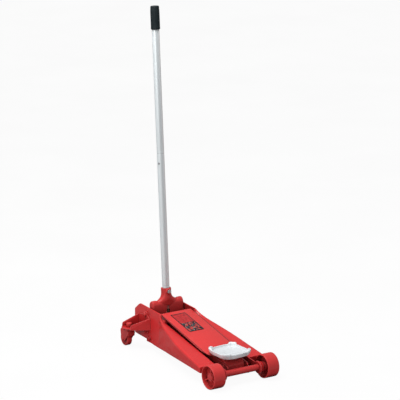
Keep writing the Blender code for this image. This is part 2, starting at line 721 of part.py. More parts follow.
def caster_fork():
    x, y = CASTER_PIN
    half = CASTER_WIDTH / 2 + 6
    crown = slab([(x - 44, y - half), *arc(CASTER_PIN, 22, -50, 50, 6), (x - 44, y + half)], 68, 73)
    hood = block(x + 13, x + 17, y - half + 1, y + half - 1, 50, 70)
    seat = rod(17, (x, y, 72), (x, y, 78 - GAP))
    body = joined(crown, fork_leg(1), fork_leg(-1), hood, seat)
    return cut(
        body,
        rod(8 + GAP, (x, y, 60), (x, y, 90)),
        cross_rod(5 + GAP, (x - CASTER_TRAIL, CASTER_RADIUS), y - 30, y + 30, 12),
    )


def caster_wheel():
    half = CASTER_WIDTH / 2
    profile = [(5 + GAP, -half), (11, -half), (12, -half + 4), (24, -half + 4), (24, -half),
               (CASTER_RADIUS, -half), (CASTER_RADIUS, half), (24, half), (24, half - 4),
               (12, half - 4), (11, half), (5 + GAP, half)]
    centre = (CASTER_PIN[0] - CASTER_TRAIL, CASTER_PIN[1], CASTER_RADIUS)
    return along(turned(profile, 20), centre, (0, -1, 0))


def caster_axle():
    x, y = CASTER_PIN
    leg = CASTER_WIDTH / 2 + 6 + GAP
    head = leg + 4
    profile = [(0, -head), (9, -head), (9, -leg), (5, -leg), (5, leg), (9, leg), (9, head), (0, head)]
    return along(turned(profile, 12), (x - CASTER_TRAIL, y, CASTER_RADIUS), (0, 1, 0))


def thrust_washer():
    return ring(8 + GAP, 16, (*CASTER_PIN, 78), (*CASTER_PIN, BRACKET_FLOOR - GAP))


def caster_pieces():
    centre = (CASTER_PIN[0], CASTER_PIN[1], BRACKET_FLOOR)
    hub = (CASTER_PIN[0] - CASTER_TRAIL, CASTER_PIN[1], CASTER_RADIUS)
    pair("caster_bracket", bracket, red_paint("bracket_paint"))
    pair("kingpin", kingpin, red_paint("kingpin_paint"), centre)
    pair("thrust_washer", thrust_washer, steel("washer_steel"), centre)
    pair("caster_fork", caster_fork, red_paint("fork_paint"), centre)
    pair("caster_axle", caster_axle, red_paint("caster_axle_paint"), hub)
    pair("caster_wheel", caster_wheel, red_paint("caster_paint"), hub)
    bracket_face = WEB_OUTER_Y + BRACKET_THICKNESS + 2 * GAP
    frame_face = WEB_OUTER_Y + GAP
    pair("bracket_bolt", lambda: frame_bolt(BRACKET_BOLT, bracket_face, 10), red_paint("bolt_paint"))
    pair("unit_bolt_upper", lambda: frame_bolt(UNIT_BOLTS[0], bracket_face, 24),
         red_paint("upper_bolt_paint"))
    pair("unit_bolt_lower", lambda: frame_bolt(UNIT_BOLTS[1], frame_face, 20),
         red_paint("lower_bolt_paint"))


# ---- handle socket and handle, drawn about the socket pivot -------------------------------------
ROLLER_ANGLE = 180 - PUMP_SWING / 2 - HANDLE_LEAN
NECK_SEGMENTS = 20


def socket_cheek(side):
    """One of the socket's legs, down from the lobes to the pivot pin."""
    outline = arc((-1, 0), 17.2, 180, 360, 6) + [(16.2, 34)] + arc((-1, 34), 16, 20, 160, 4) + [(-18.2, 34)]
    y = sorted((side * 48.0, side * SOCKET_HALF_WIDTH))
    return side_profile(outline, *y)


def socket_neck():
    """The round neck, flaring into the cross body."""
    sections = []
    for height, half_x, half_y in ((30, 19, 60), (42, 20, 58), (50, 20.5, 42), (57, 20.5, 30),
                                   (70, 20.5, 21.5), (SOCKET_TOP, 20.5, 20.5)):
        section = []
        for i in range(NECK_SEGMENTS):
            angle = 2 * pi * (i + 0.5) / NECK_SEGMENTS
            section.append((half_x * cos(angle), half_y * sin(angle), height))
        sections.append(section)
    return lofted(sections)


def handle_socket():
    bridge = side_profile(arc((-1, 31), 17, 0, 180, 6) + [(-18, 14), (11, 14), (11, -14), (16, -14)],
                          -SOCKET_HALF_WIDTH, SOCKET_HALF_WIDTH)
    pad = rod(12, (8, 0, CLAMP_HEIGHT), (24.5, 0, CLAMP_HEIGHT))
    arm_end = (PUMP_ARM * cos(radians(ROLLER_ANGLE)), PUMP_ARM * sin(radians(ROLLER_ANGLE)))
    tang_y = PUMP_Y + 9
    tang_end = arc(arm_end, 7, 260, 120, 5)
    tang = side_profile([(-10, 40), (-10, 16), (arm_end[0] + 6, arm_end[1] - 5), *tang_end],
                        tang_y, tang_y + 7)
    body = joined(socket_neck(), bridge, socket_cheek(1), socket_cheek(-1), pad, tang)
    return cut(
        body,
        rod(TUBE_RADIUS + GAP, (0, 0, 34), (0, 0, SOCKET_TOP + 5), 28),
        rod(13.4, (0, 0, -5), (0, 0, 40), 20),
        cross_rod(9 + GAP, (0, 0), -90, 90),
        rod(4 + GAP, (10, 0, CLAMP_HEIGHT), (30, 0, CLAMP_HEIGHT), 12),
        cross_rod(4 + GAP, arm_end, 20, 50, 12),
        block(10, 25, -9, 7, -20, 24),
    )


def toward_button(radius, near, far):
    """A round bar from radius near to radius far, along the snap button's line."""
    way = Vector((cos(radians(BUTTON_TURN)), sin(radians(BUTTON_TURN)), 0))
    height = Vector((0, 0, HANDLE_JOINT - BUTTON_BELOW_JOINT))
    return rod(radius, height + way * near, height + way * far, 12)


def lower_tube():
    inner = TUBE_RADIUS - TUBE_WALL
    profile = [(inner, 37), (TUBE_RADIUS, 37), (TUBE_RADIUS, HANDLE_JOINT - GAP), (inner, HANDLE_JOINT - GAP)]
    return cut(turned(profile, 20), toward_button(BUTTON_RADIUS + 0.4, 10, 20))


def upper_tube():
    """The upper half, with a reduced spigot that plugs into the lower half."""
    spigot = TUBE_RADIUS - TUBE_WALL - 0.4
    bore = spigot - 2.2
    profile = [(bore, HANDLE_JOINT - 70), (spigot, HANDLE_JOINT - 70), (spigot, HANDLE_JOINT + GAP),
               (TUBE_RADIUS, HANDLE_JOINT + GAP), (TUBE_RADIUS, HANDLE_TOP - 4), (bore, HANDLE_TOP - 4)]
    return cut(turned(profile, 20), toward_button(BUTTON_RADIUS + 0.4, 8, 20))


def grip():
    base = HANDLE_TOP - GRIP_LENGTH
    inner = TUBE_RADIUS + GAP
    profile = [(0, HANDLE_TOP), (GRIP_RADIUS - 4, HANDLE_TOP), (GRIP_RADIUS - 1, HANDLE_TOP - 1),
               (GRIP_RADIUS, HANDLE_TOP - 4), (GRIP_RADIUS, base + 6), (GRIP_RADIUS - 1.5, base),
               (inner, base), (inner, HANDLE_TOP - 4 + GAP), (0, HANDLE_TOP - 4 + GAP)]
    return turned(profile, 20)


def handle_pieces():
    lean = bpy.data.objects.new("handle_lean", None)
    bpy.context.scene.collection.objects.link(lean)
    lean.location = world((SOCKET_PIVOT[0], 0, SOCKET_PIVOT[1]))
    lean.rotation_euler = (0, radians(-HANDLE_LEAN), 0)
    put("handle_socket", handle_socket(), red_paint("socket_paint"), parent=lean)
    clamp = bolt((24.5 + GAP, 0, CLAMP_HEIGHT), (1, 0, 0), 4, 7.4, 9, 6)
    put("socket_bolt", clamp, steel("bolt_zinc"), parent=lean)
    arm_end = (PUMP_ARM * cos(radians(ROLLER_ANGLE)), PUMP_ARM * sin(radians(ROLLER_ANGLE)))
    roller = ring(4 + GAP, PUMP_ROLLER_RADIUS, (arm_end[0], PUMP_Y - 7, arm_end[1]),
                  (arm_end[0], PUMP_Y + 8.5, arm_end[1]))
    put("pump_roller", roller, steel("pump_roller_steel"), parent=lean)
    pin = cross_rod(4, arm_end, PUMP_Y - 10, PUMP_Y + 18, 12)
    put("pump_roller_pin", pin, steel("pump_pin_steel"), parent=lean)
    put("handle_tube_lower", lower_tube(), material("tube_lower", (0.5, 0.5, 0.5, 1), 0.4, 0.6), parent=lean)
    put("handle_tube_upper", upper_tube(), material("tube_upper", (0.5, 0.5, 0.5, 1), 0.4, 0.6), parent=lean)
    put("handle_grip", grip(), material("grip_rubber", (0.01, 0.015, 0.02, 1), 0.6, 0.0), parent=lean)
    button = toward_button(BUTTON_RADIUS, 6, TUBE_RADIUS + BUTTON_STANDS_PROUD)
    put("snap_button", button, steel("button_steel"), parent=lean)
    plug = rod(TUBE_RADIUS - TUBE_WALL - GAP, (0, 0, -46), (0, 0, -38))
    coupler = joined(universal_fork(20), plug)
    coupler.transform(Matrix.Rotation(pi, 4, "X") @ Matrix.Rotation(pi / 2, 4, "Z"))
    put("release_coupler", coupler, steel("coupler_steel"), parent=lean)


def build():
    clear_scene()
    frame_pieces()
    wheel_pieces()
    arm_pieces()
    head_pieces()
    hydraulic_pieces()
    caster_pieces()
    handle_pieces()


build()
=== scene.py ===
"""Looks for the trolley jack: fine meshes and painted, cast and plated surfaces round the CAD frame.

Shapes are drawn in millimetres with x = 0 on the front axle, as in the CAD, and `show` places them.
The handle's pieces are drawn upright about the socket pivot and leaned back by `leaning`.
"""

from math import atan2, cos, degrees, pi, radians, sin, sqrt

import bmesh
import bpy
from mathutils import Matrix, Vector


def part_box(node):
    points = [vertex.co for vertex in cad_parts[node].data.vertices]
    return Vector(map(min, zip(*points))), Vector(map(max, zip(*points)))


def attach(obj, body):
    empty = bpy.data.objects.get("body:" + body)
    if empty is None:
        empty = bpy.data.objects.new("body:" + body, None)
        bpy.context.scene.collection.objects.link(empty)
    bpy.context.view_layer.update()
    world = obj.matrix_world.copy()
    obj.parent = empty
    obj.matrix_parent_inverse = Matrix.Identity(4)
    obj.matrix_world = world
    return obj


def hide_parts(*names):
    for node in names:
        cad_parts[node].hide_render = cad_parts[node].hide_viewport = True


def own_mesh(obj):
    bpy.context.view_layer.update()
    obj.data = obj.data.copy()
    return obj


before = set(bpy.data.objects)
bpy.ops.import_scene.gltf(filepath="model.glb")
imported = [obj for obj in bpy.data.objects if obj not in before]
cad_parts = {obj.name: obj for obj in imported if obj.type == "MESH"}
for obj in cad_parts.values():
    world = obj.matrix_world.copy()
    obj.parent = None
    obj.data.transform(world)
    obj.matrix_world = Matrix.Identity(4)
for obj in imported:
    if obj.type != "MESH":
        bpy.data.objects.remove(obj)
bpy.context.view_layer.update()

MM = 0.001
GAP = 0.3


def centre_of(node):
    low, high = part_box(node)
    return (low + high) / 2


AXLE_X = centre_of("front_axle").x / MM
WHEEL_RADIUS = 50.0
PLATE_INNER_Y = 81.0
WEB_OUTER_Y = 86.0
ARM_PIVOT = (-462.0, 143.0)
HEAD_PIN = (-50.0, 60.0)
ROD_OFFSET = (12.0, -27.0)
COVER_REAR = (-495.0, 172.0)
COVER_FRONT = (-118.0, 91.0)
SADDLE_X = -81.0
SADDLE_TOP = 124.0
SOCKET_PIVOT = (-565.5, 158.0)
HANDLE_LEAN = 3.8
SOCKET_TOP = 99.0
CLAMP_HEIGHT = 85.5
HANDLE_TOP = 1297.0
HANDLE_JOINT = 678.0
CASTER_PIN = (-642.0, 141.0)
CASTER_AXLE = (-667.0, 31.0)
BRACKET_FLOOR = 84.0
BRACKET_BOLT = (-592.0, 147.0)
UNIT_BOLTS = [(-590.0, 74.0), (-566.0, 47.0)]
RAM_Z = 75.0
PUMP_ARM = 34.0
PUMP_SWING = 65.0
PUMP_Y = 30.0
WHEEL_FACE_Y = 157.5
SADDLE_HALF = 68.2
SADDLE_TURN = 3
BUTTON_DROP = 42
# Bore radii.
PIVOT_BORE = 12.3
STEM_BORE = 12.3
HEAD_BORE = 8.3
KINGPIN_BORE = 8.3
ROD_BORE = 6.3
LEVER_BORE = 6.3
ANCHOR_BORE = 7.3
SOCKET_BORE = 9.3
BOLT_BORE = 5.3


# ---- outlines ----
def arc(centre, radius, start, end, steps):
    """Points on an arc from start to end degrees, both ends included."""
    points = []
    for i in range(steps + 1):
        angle = radians(start + (end - start) * i / steps)
        points.append((centre[0] + radius * cos(angle), centre[1] + radius * sin(angle)))
    return points


def circle(radius, height, steps):
    """A level ring of points."""
    return [(radius * cos(2 * pi * i / steps), radius * sin(2 * pi * i / steps), height)
            for i in range(steps)]


def bend(before, corner, after, setback, steps):
    """A smooth turn round a corner, starting and ending setback away from it."""
    corner = Vector(corner)
    to_before = Vector(before) - corner
    to_after = Vector(after) - corner
    reach = min(setback, 0.46 * to_before.length, 0.46 * to_after.length)
    start = corner + to_before.normalized() * reach
    end = corner + to_after.normalized() * reach
    turn = []
    for i in range(steps + 1):
        t = i / steps
        turn.append(tuple(start * (1 - t) ** 2 + corner * 2 * t * (1 - t) + end * t * t))
    return turn


def rounded(corners, setbacks, steps=5):
    """A closed outline with every corner turned smoothly. One setback, or one for each corner."""
    if not isinstance(setbacks, (list, tuple)):
        setbacks = [setbacks] * len(corners)
    outline = []
    for i, corner in enumerate(corners):
        after = corners[(i + 1) % len(corners)]
        outline += bend(corners[i - 1], corner, after, setbacks[i], steps)
    return outline


def softened(profile, setback, steps=3):
    """An open profile with its inner corners turned smoothly."""
    points = [profile[0]]
    for before, corner, after in zip(profile, profile[1:], profile[2:]):
        points += bend(before, corner, after, setback, steps)
    return points + [profile[-1]]


def inset(outline, distance):
    """A closed outline moved inwards by distance, whichever way round it runs."""
    count = len(outline)
    area = sum(a[0] * b[1] - b[0] * a[1] for a, b in zip(outline[-1:] + outline, outline))
    side = 1 if area > 0 else -1
    moved = []
    for i, (u, v) in enumerate(outline):
        before = Vector(outline[i - 1])
        after = Vector(outline[(i + 1) % count])
        way = after - before
        if way.length < 1e-9:
            moved.append((u, v))
            continue
        way.normalize()
        moved.append((u - way.y * distance * side, v + way.x * distance * side))
    return moved


# ---- meshes ----
def outward(mesh):
    bmesh.ops.recalc_face_normals(mesh, faces=mesh.faces)
    return mesh


def lofted(sections):
    """A closed solid through sections, lists of equally many points in order."""
    mesh = bmesh.new()
    loops = [[mesh.verts.new(point) for point in section] for section in sections]
    count = len(loops[0])
    for near, far in zip(loops, loops[1:]):
        for i in range(count):
            j = (i + 1) % count
            mesh.faces.new((near[i], near[j], far[j], far[i]))
    mesh.faces.new(loops[0])
    mesh.faces.new(loops[-1])
    return outward(mesh)


def sheet(outline, d0, d1, lip, place):
    """A plate with soft edges: outline swept from depth d0 to d1. place(u, v, d) gives the point."""
    lip = min(lip, abs(d1 - d0) * 0.45)
    way = 1 if d1 > d0 else -1
    steps = [(d0, lip), (d0 + way * lip * 0.29, lip * 0.29), (d0 + way * lip, 0.0),
             (d1 - way * lip, 0.0), (d1 - way * lip * 0.29, lip * 0.29), (d1, lip)]
    return lofted([[place(u, v, depth) for u, v in inset(outline, shrink)] for depth, shrink in steps])


def upright(outline, y0, y1, lip=0.8):
    """A plate standing along the jack: an (x, z) outline between y0 and y1."""
    return sheet(outline, y0, y1, lip, lambda u, v, d: (u, d, v))


def flat(outline, z0, z1, lip=0.8):
    """A plate lying level: an (x, y) outline between z0 and z1."""
    return sheet(outline, z0, z1, lip, lambda u, v, d: (u, v, d))


def brick(x0, x1, y0, y1, z0, z1, lip=0.8):
    corners = [(x0, y0), (x1, y0), (x1, y1), (x0, y1)]
    return flat(rounded(corners, lip, 3), z0, z1, lip)


def turned(profile, segments=64, setback=0.5):
    """A (radius, height) profile spun about Z. It either closes on itself or ends on the axis."""
    on_axis = profile[0][0] == 0 and profile[-1][0] == 0
    if setback:
        profile = softened(profile, setback) if on_axis else rounded(profile, setback, 3)
    mesh = bmesh.new()
    points = [mesh.verts.new((radius, 0, height)) for radius, height in profile]
    edges = [mesh.edges.new(pair) for pair in zip(points, points[1:])]
    if not on_axis:
        edges.append(mesh.edges.new((points[-1], points[0])))
    bmesh.ops.spin(mesh, geom=points + edges, cent=(0, 0, 0), axis=(0, 0, 1),
                   angle=2 * pi, steps=segments, use_merge=True)
    bmesh.ops.remove_doubles(mesh, verts=mesh.verts, dist=0.0005)
    return outward(mesh)


def along(mesh, start, direction):
    """Stand a mesh drawn about +Z on start, pointing along direction."""
    turn = Vector((0, 0, 1)).rotation_difference(Vector(direction)).to_matrix().to_4x4()
    mesh.transform(Matrix.Translation(start) @ turn)
    return outward(mesh)


def ring(inner, outer, start, end, segments=64, edge=0.4):
    axis = Vector(end) - Vector(start)
    length = axis.length
    profile = [(inner, 0), (outer, 0), (outer, length), (inner, length)]
    return along(turned(profile, segments, edge), start, axis)


def rod(radius, start, end, segments=48, edge=0.6):
    return ring(0, radius, start, end, segments, edge)


def cross_rod(radius, place, y0, y1, segments=48, edge=0.6):
    return rod(radius, (place[0], y0, place[1]), (place[0], y1, place[1]), segments, edge)


def hex_bolt(start, direction, shank_radius, shank_length, head_radius, head_height):
    """A hex bolt with a chamfered head and a washer face; its head stands along direction."""
    head = flat(rounded(arc((0, 0), head_radius, 0, 300, 5), 0.5, 3), 0.9, head_height, 0.7)
    crown = turned([(0, -1), (head_radius * 0.93, -1), (head_radius * 1.02, head_height * 0.62),
                    (head_radius * 0.86, head_height + 0.2), (0, head_height + 0.2)], 48, 0.3)
    head = combined(head, [crown], "INTERSECT")
    washer = turned([(0, 0), (head_radius * 0.9, 0), (head_radius * 0.9, 1.2), (0, 1.2)], 48, 0.2)
    shank = rod(shank_radius, (0, 0, -shank_length), (0, 0, 2))
    return along(joined(head, washer, shank), start, direction)


def linked(name, data):
    obj = bpy.data.objects.new(name, data)
    bpy.context.scene.collection.objects.link(obj)
    return obj


def as_object(name, mesh):
    """An object made from a drawn mesh, which is freed."""
    data = bpy.data.meshes.new(name)
    mesh.to_mesh(data)
    mesh.free()
    return linked(name, data)


def temporary(mesh):
    bmesh.ops.triangulate(mesh, faces=mesh.faces)
    return as_object("temporary", mesh)


def discard(obj):
    data = obj.data
    bpy.data.objects.remove(obj, do_unlink=True)
    bpy.data.meshes.remove(data)


def taken(obj):
    """The evaluated mesh of a temporary object, which is then removed."""
    result = bmesh.new()
    result.from_object(obj, bpy.context.evaluated_depsgraph_get())
    discard(obj)
    return result


def combined(base, tools, operation):
    subject = temporary(base)
    others = [temporary(tool) for tool in tools]
    for other in others:
        modifier = subject.modifiers.new("combine", "BOOLEAN")
        modifier.operation = operation
        modifier.solver = "MANIFOLD"
        modifier.object = other
    result = taken(subject)
    for obj in others:
        discard(obj)
    if not result.faces:
        raise RuntimeError("a Boolean left nothing")
    bmesh.ops.dissolve_limit(result, angle_limit=radians(0.05), verts=result.verts,
                             edges=result.edges)
    return result


def joined(base, *tools):
    return combined(base, tools, "UNION")


def cut(base, *tools):
    return combined(base, tools, "DIFFERENCE")


def cast(mesh, voxel=1.2, passes=8):
    """A casting: the same solid remeshed finely, with its corners and inner angles melted."""
    obj = temporary(mesh)
    remesh = obj.modifiers.new("cast", "REMESH")
    remesh.mode = "VOXEL"
    remesh.voxel_size = voxel
    smooth = obj.modifiers.new("melt", "SMOOTH")
    smooth.factor = 0.5
    smooth.iterations = passes
    return taken(obj)


def mirrored(mesh):
    mesh.transform(Matrix.Diagonal((1, -1, 1, 1)))
    bmesh.ops.reverse_faces(mesh, faces=mesh.faces)
    return mesh


def leaning(mesh):
    """Take a handle piece from its upright drawing to its place on the jack."""
    lean = Matrix.Rotation(radians(-HANDLE_LEAN), 4, "Y")
    mesh.transform(Matrix.Translation((SOCKET_PIVOT[0], 0, SOCKET_PIVOT[1])) @ lean)
    return mesh


def show(name, mesh, paint, body, nodes, sharp=38):
    """Make the piece from a drawn mesh, ride it on its body and let it stand for its CAD nodes."""
    mesh.transform(Matrix.Scale(MM, 4) @ Matrix.Translation((AXLE_X, 0, 0)))
    obj = as_object(name, mesh)
    obj.data.shade_smooth()
    obj.data.set_sharp_from_angle(angle=radians(sharp))
    obj.data.materials.append(paint)
    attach(obj, body)
    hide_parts(*nodes)
    return obj


def show_pair(name, build, paint, body, node, sharp=38):
    """The left piece from build(), and its mirror image. {} in body and node becomes the side."""
    for side in ("left", "right"):
        mesh = build() if side == "left" else mirrored(build())
        show(f"{name}_{side}", mesh, paint, body.format(side), [node.format(side)], sharp)


# ---- surfaces ----
class Shader:
    """A material's node tree, with short ways to add what these surfaces share."""

    def __init__(self, name):
        self.material = bpy.data.materials.new(name)
        self.material.use_nodes = True
        self.nodes = self.material.node_tree.nodes
        self.links = self.material.node_tree.links
        self.base = self.nodes["Principled BSDF"]
        self.place = self.nodes.new("ShaderNodeTexCoord").outputs["Object"]

    def add(self, kind, **values):
        node = self.nodes.new(kind)
        for key, value in values.items():
            if key in node.inputs:
                node.inputs[key].default_value = value
            else:
                setattr(node, key, value)
        return node

    def mapped(self, **values):
        """The object's coordinates, scaled and shifted."""
        mapping = self.add("ShaderNodeMapping", **values)
        self.links.new(self.place, mapping.inputs["Vector"])
        return mapping.outputs["Vector"]

    def geometry(self, output):
        return self.nodes.new("ShaderNodeNewGeometry").outputs[output]

    def component(self, source, axis):
        """One component of a vector socket."""
        split = self.nodes.new("ShaderNodeSeparateXYZ")
        self.links.new(source, split.inputs["Vector"])
        return split.outputs[axis]

    def reckoned(self, kind, operation, *operands, output="Value"):
        """A math node's result. Operands are sockets or values."""
        node = self.add(kind, operation=operation)
        for socket, value in zip(node.inputs, operands):
            if isinstance(value, bpy.types.NodeSocket):
                self.links.new(value, socket)
            else:
                socket.default_value = value
        return node.outputs[output]

    def noise(self, scale, detail=4.0, roughness=0.55, stretch=None):
        node = self.add("ShaderNodeTexNoise", Scale=scale, Detail=detail, Roughness=roughness)
        self.links.new(self.mapped(Scale=stretch) if stretch else self.place, node.inputs["Vector"])
        return node.outputs["Fac"]

    def spread(self, source, low, high, to_low, to_high):
        node = self.add("ShaderNodeMapRange")
        for key, value in (("From Min", low), ("From Max", high), ("To Min", to_low), ("To Max", to_high)):
            node.inputs[key].default_value = value
        self.links.new(source, node.inputs["Value"])
        return node.outputs["Result"]

    def mixed(self, factor, first, second, how="MIX"):
        """A colour mix; first and second are colours or sockets."""
        node = self.add("ShaderNodeMix", data_type="RGBA", blend_type=how)
        if isinstance(factor, float):
            node.inputs[0].default_value = factor
        else:
            self.links.new(factor, node.inputs[0])
        for socket, value in ((node.inputs[6], first), (node.inputs[7], second)):
            if isinstance(value, tuple):
                socket.default_value = (*value, 1.0)
            else:
                self.links.new(value, socket)
        return node.outputs[2]

    def edges(self):
        """1 on sharp convex edges, 0 on flats and in hollows."""
        soft = self.add("ShaderNodeBevel", samples=4, Radius=0.002)
        turn = self.reckoned("ShaderNodeVectorMath", "DOT_PRODUCT", soft.outputs["Normal"],
                             self.geometry("Normal"))
        return self.reckoned("ShaderNodeMath", "MULTIPLY", self.spread(turn, 0.8, 0.98, 1.0, 0.0),
                             self.spread(self.geometry("Pointiness"), 0.5, 0.515, 0.0, 1.0))

    def hollows(self, distance):
        """0 deep in a corner, 1 in the open."""
        node = self.add("ShaderNodeAmbientOcclusion", samples=6)
        node.inputs["Distance"].default_value = distance
        return node.outputs["AO"]

    def side_faces(self, which):
        """"across": 1 on all faces along the jack. "inside": 0.7 on those turned to its middle."""
        turn = self.component(self.geometry("Normal"), "Y")
        if which == "across":
            return self.spread(self.reckoned("ShaderNodeMath", "MULTIPLY", turn, turn), 0.6, 0.9, 0.0, 1.0)
        place = self.component(self.geometry("Position"), "Y")
        return self.spread(self.reckoned("ShaderNodeMath", "MULTIPLY", turn, place),
                           -0.05, -0.075, 0.0, 0.7)

    def facing(self, bearing):
        """1 on a wall that faces the bearing (degrees from X towards Y), 0 at right angles to it."""
        way = (cos(radians(bearing)), sin(radians(bearing)), 0)
        return self.reckoned("ShaderNodeVectorMath", "DOT_PRODUCT", self.geometry("Normal"), way)

    def upward(self):
        """How far a face looks up: 1 on tops, 0 on walls, less underneath."""
        return self.component(self.geometry("Normal"), "Z")

    def edge_line(self, distance):
        """0.9 on two thin lines that run along the jack, distance from its middle plane."""
        reach = self.reckoned("ShaderNodeMath", "ABSOLUTE", self.component(self.geometry("Position"), "Y"))
        off = self.reckoned("ShaderNodeMath", "SUBTRACT", reach, distance)
        return self.spread(self.reckoned("ShaderNodeMath", "ABSOLUTE", off), 0.0014, 0.0026, 0.9, 0.0)

    def bump(self, layers):
        """Stack bumps: (height socket, strength, depth in metres)."""
        normal = None
        for height, strength, depth in layers:
            node = self.add("ShaderNodeBump", Strength=strength, Distance=depth)
            self.links.new(height, node.inputs["Height"])
            if normal:
                self.links.new(normal, node.inputs["Normal"])
            normal = node.outputs["Normal"]
        self.links.new(normal, self.base.inputs["Normal"])

    def set(self, **values):
        for key, value in values.items():
            socket = self.base.inputs[key.replace("_", " ")]
            if isinstance(value, bpy.types.NodeSocket):
                self.links.new(value, socket)
            else:
                socket.default_value = value


def shade(colour, factor):
    return tuple(min(1.0, c * factor) for c in colour)


def painted(name, colour, rough=0.34, grain=0.25, lumps=0.0, hollow_dust_and_shade=0.35, edge_wear_and_highlight=0.5, reach=0.11,
            shadowed=None, line=None):
    """Sprayed enamel: orange peel, slow drifts in tone, dust and painted shade in hollows, rubbed edges
    with a painted highlight.

    reach is how far apart faces still darken each other, in metres; that darkening is dust and painted
    shade.
    The lightened edges are rubbed wear and a painted highlight. Three more things are painted in
    and don't come from the lights: shadowed darkens faces that look at the middle plane
    ("inside") or along Y either way ("across"), line draws a dark line along both edges, that
    many metres from the middle plane, for the photograph's dark seam beside the cover, and
    faces that look up reflect more than walls and undersides.
    """
    s = Shader(name)
    drift = s.noise(9.0, 5.0)
    tone = s.mixed(s.spread(drift, 0.3, 0.7, 0.0, 1.0), shade(colour, 0.93), shade(colour, 1.05))
    mottle = s.spread(s.noise(160.0, 3.0), 0.42, 0.62, 0.0, 0.35)
    tone = s.mixed(mottle, tone, shade(colour, 0.88))
    # Dust and painted shade: faces close to other faces are darkened.
    hollow = s.spread(s.hollows(reach), 0.05, 0.72, 1.0, 0.0)
    tone = s.mixed(hollow, tone, shade(colour, 0.24 - 0.2 * hollow_dust_and_shade))
    if shadowed:
        tone = s.mixed(s.side_faces(shadowed), tone, shade(colour, 0.3))
    if line:
        tone = s.mixed(s.edge_line(line), tone, shade(colour, 0.22))
    # Sharp edges are lightened: rubbed wear and a painted highlight.
    worn_and_highlit_edges = s.spread(s.edges(), 0.1, 0.9, 0.0, edge_wear_and_highlight)
    light = tuple(min(1.0, c * 0.9 + 0.28) for c in colour)
    tone = s.mixed(worn_and_highlit_edges, tone, light)
    rough_map = s.spread(s.noise(55.0, 4.0), 0.3, 0.7, rough - 0.06, rough + 0.10)
    s.set(Base_Color=tone, Roughness=rough_map, Coat_Weight=0.1, Coat_Roughness=0.2,
          Specular_IOR_Level=s.spread(s.upward(), -0.12, 0.02, 0.05, 0.32))
    layers = [(s.noise(750.0, 2.0), grain, 0.00025)]
    if lumps:
        layers.append((s.noise(190.0, 3.0), lumps, 0.0009))
    s.bump(layers)
    return s.material


def metal(name, colour, rough=0.3, stretch=(1, 1, 1), scale=420.0, grain=0.2, tarnish=0.25):
    """Bare or plated steel with tool marks along one way, a thin uneven tarnish and painted shade in its
    hollows.
    """
    s = Shader(name)
    marks = s.noise(scale, 3.0, 0.6, stretch)
    stain = s.spread(s.noise(28.0, 5.0), 0.4, 0.75, 0.0, tarnish)
    tone = s.mixed(stain, colour, shade(colour, 0.55))
    # Painted shade in corners and hollows.
    hollow = s.spread(s.hollows(0.012), 0.2, 0.9, 0.5, 0.0)
    tone = s.mixed(hollow, tone, shade(colour, 0.3))
    s.set(Base_Color=tone, Metallic=1.0,
          Roughness=s.spread(marks, 0.3, 0.7, rough - 0.08, rough + 0.12))
    s.bump([(marks, grain, 0.0002)])
    return s.material


MATT = 0.22


def rubber(name, colour, rough=0.55):
    s = Shader(name)
    bloom = s.spread(s.noise(35.0, 5.0), 0.4, 0.75, 0.0, 0.5)
    tone = s.mixed(bloom, colour, tuple(c * 1.6 + 0.008 for c in colour))
    s.set(Base_Color=tone, Specular_IOR_Level=MATT,
          Roughness=s.spread(s.noise(90.0), 0.3, 0.7, rough - 0.1, rough + 0.12))
    s.bump([(s.noise(900.0, 2.0), 0.3, 0.0003), (s.noise(120.0, 3.0), 0.15, 0.0006)])
    return s.material


def plated_casting(name, colour):
    """The saddle: a pale plated casting with a fine sandy grain and painted shade in its corners."""
    s = Shader(name)
    tone = s.mixed(s.spread(s.noise(45.0, 5.0), 0.35, 0.7, 0.0, 1.0), colour, shade(colour, 0.93))
    tone = s.mixed(s.spread(s.noise(260.0, 3.0), 0.5, 0.72, 0.0, 0.35), tone, shade(colour, 0.84))
    # Painted shade in the corners.
    tone = s.mixed(s.spread(s.hollows(0.012), 0.35, 0.97, 0.5, 0.0), tone, shade(colour, 0.62))
    s.set(Base_Color=tone, Metallic=0.12, Roughness=0.42)
    s.bump([(s.noise(520.0, 3.0), 0.35, 0.0004), (s.noise(120.0, 3.0), 0.25, 0.0009)])
    return s.material


BAND_BEARING = -17
PALE_EDGE_BEARING = 57


def tube_paint(name, colour):
    """Silver lacquer on drawn tube, with faint lengthwise streaks.

    The grey band and the pale edge are painted in by bearing, as the photograph's light shows
    them. They aren't reflections, so they stay where they are when the handle turns.
    """
    s = Shader(name)
    streak = s.noise(120.0, 3.0, 0.6, (3.0, 3.0, 0.04))
    tone = s.mixed(s.spread(streak, 0.35, 0.68, 0.0, 1.0), shade(colour, 0.96), shade(colour, 1.03))
    scuff = s.spread(s.noise(70.0, 6.0, 0.7), 0.63, 0.74, 0.0, 0.35)
    tone = s.mixed(scuff, tone, shade(colour, 0.72))
    band = s.spread(s.facing(BAND_BEARING), 0.90, 0.985, 0.0, 1.0)
    tone = s.mixed(band, tone, shade(colour, 0.76))
    edge = s.spread(s.facing(PALE_EDGE_BEARING), 0.55, 0.85, 0.0, 0.9)
    tone = s.mixed(edge, tone, (1.0, 1.0, 1.0))
    # Painted shade in the grooves and seams.
    tone = s.mixed(s.spread(s.hollows(0.008), 0.4, 0.95, 1.0, 0.0), tone, shade(colour, 0.25))
    s.set(Base_Color=tone, Metallic=0.12, Roughness=s.spread(streak, 0.3, 0.7, 0.28, 0.38),
          Coat_Weight=0.3, Coat_Roughness=0.15)
    s.bump([(s.noise(800.0, 2.0), 0.12, 0.0002)])
    return s.material


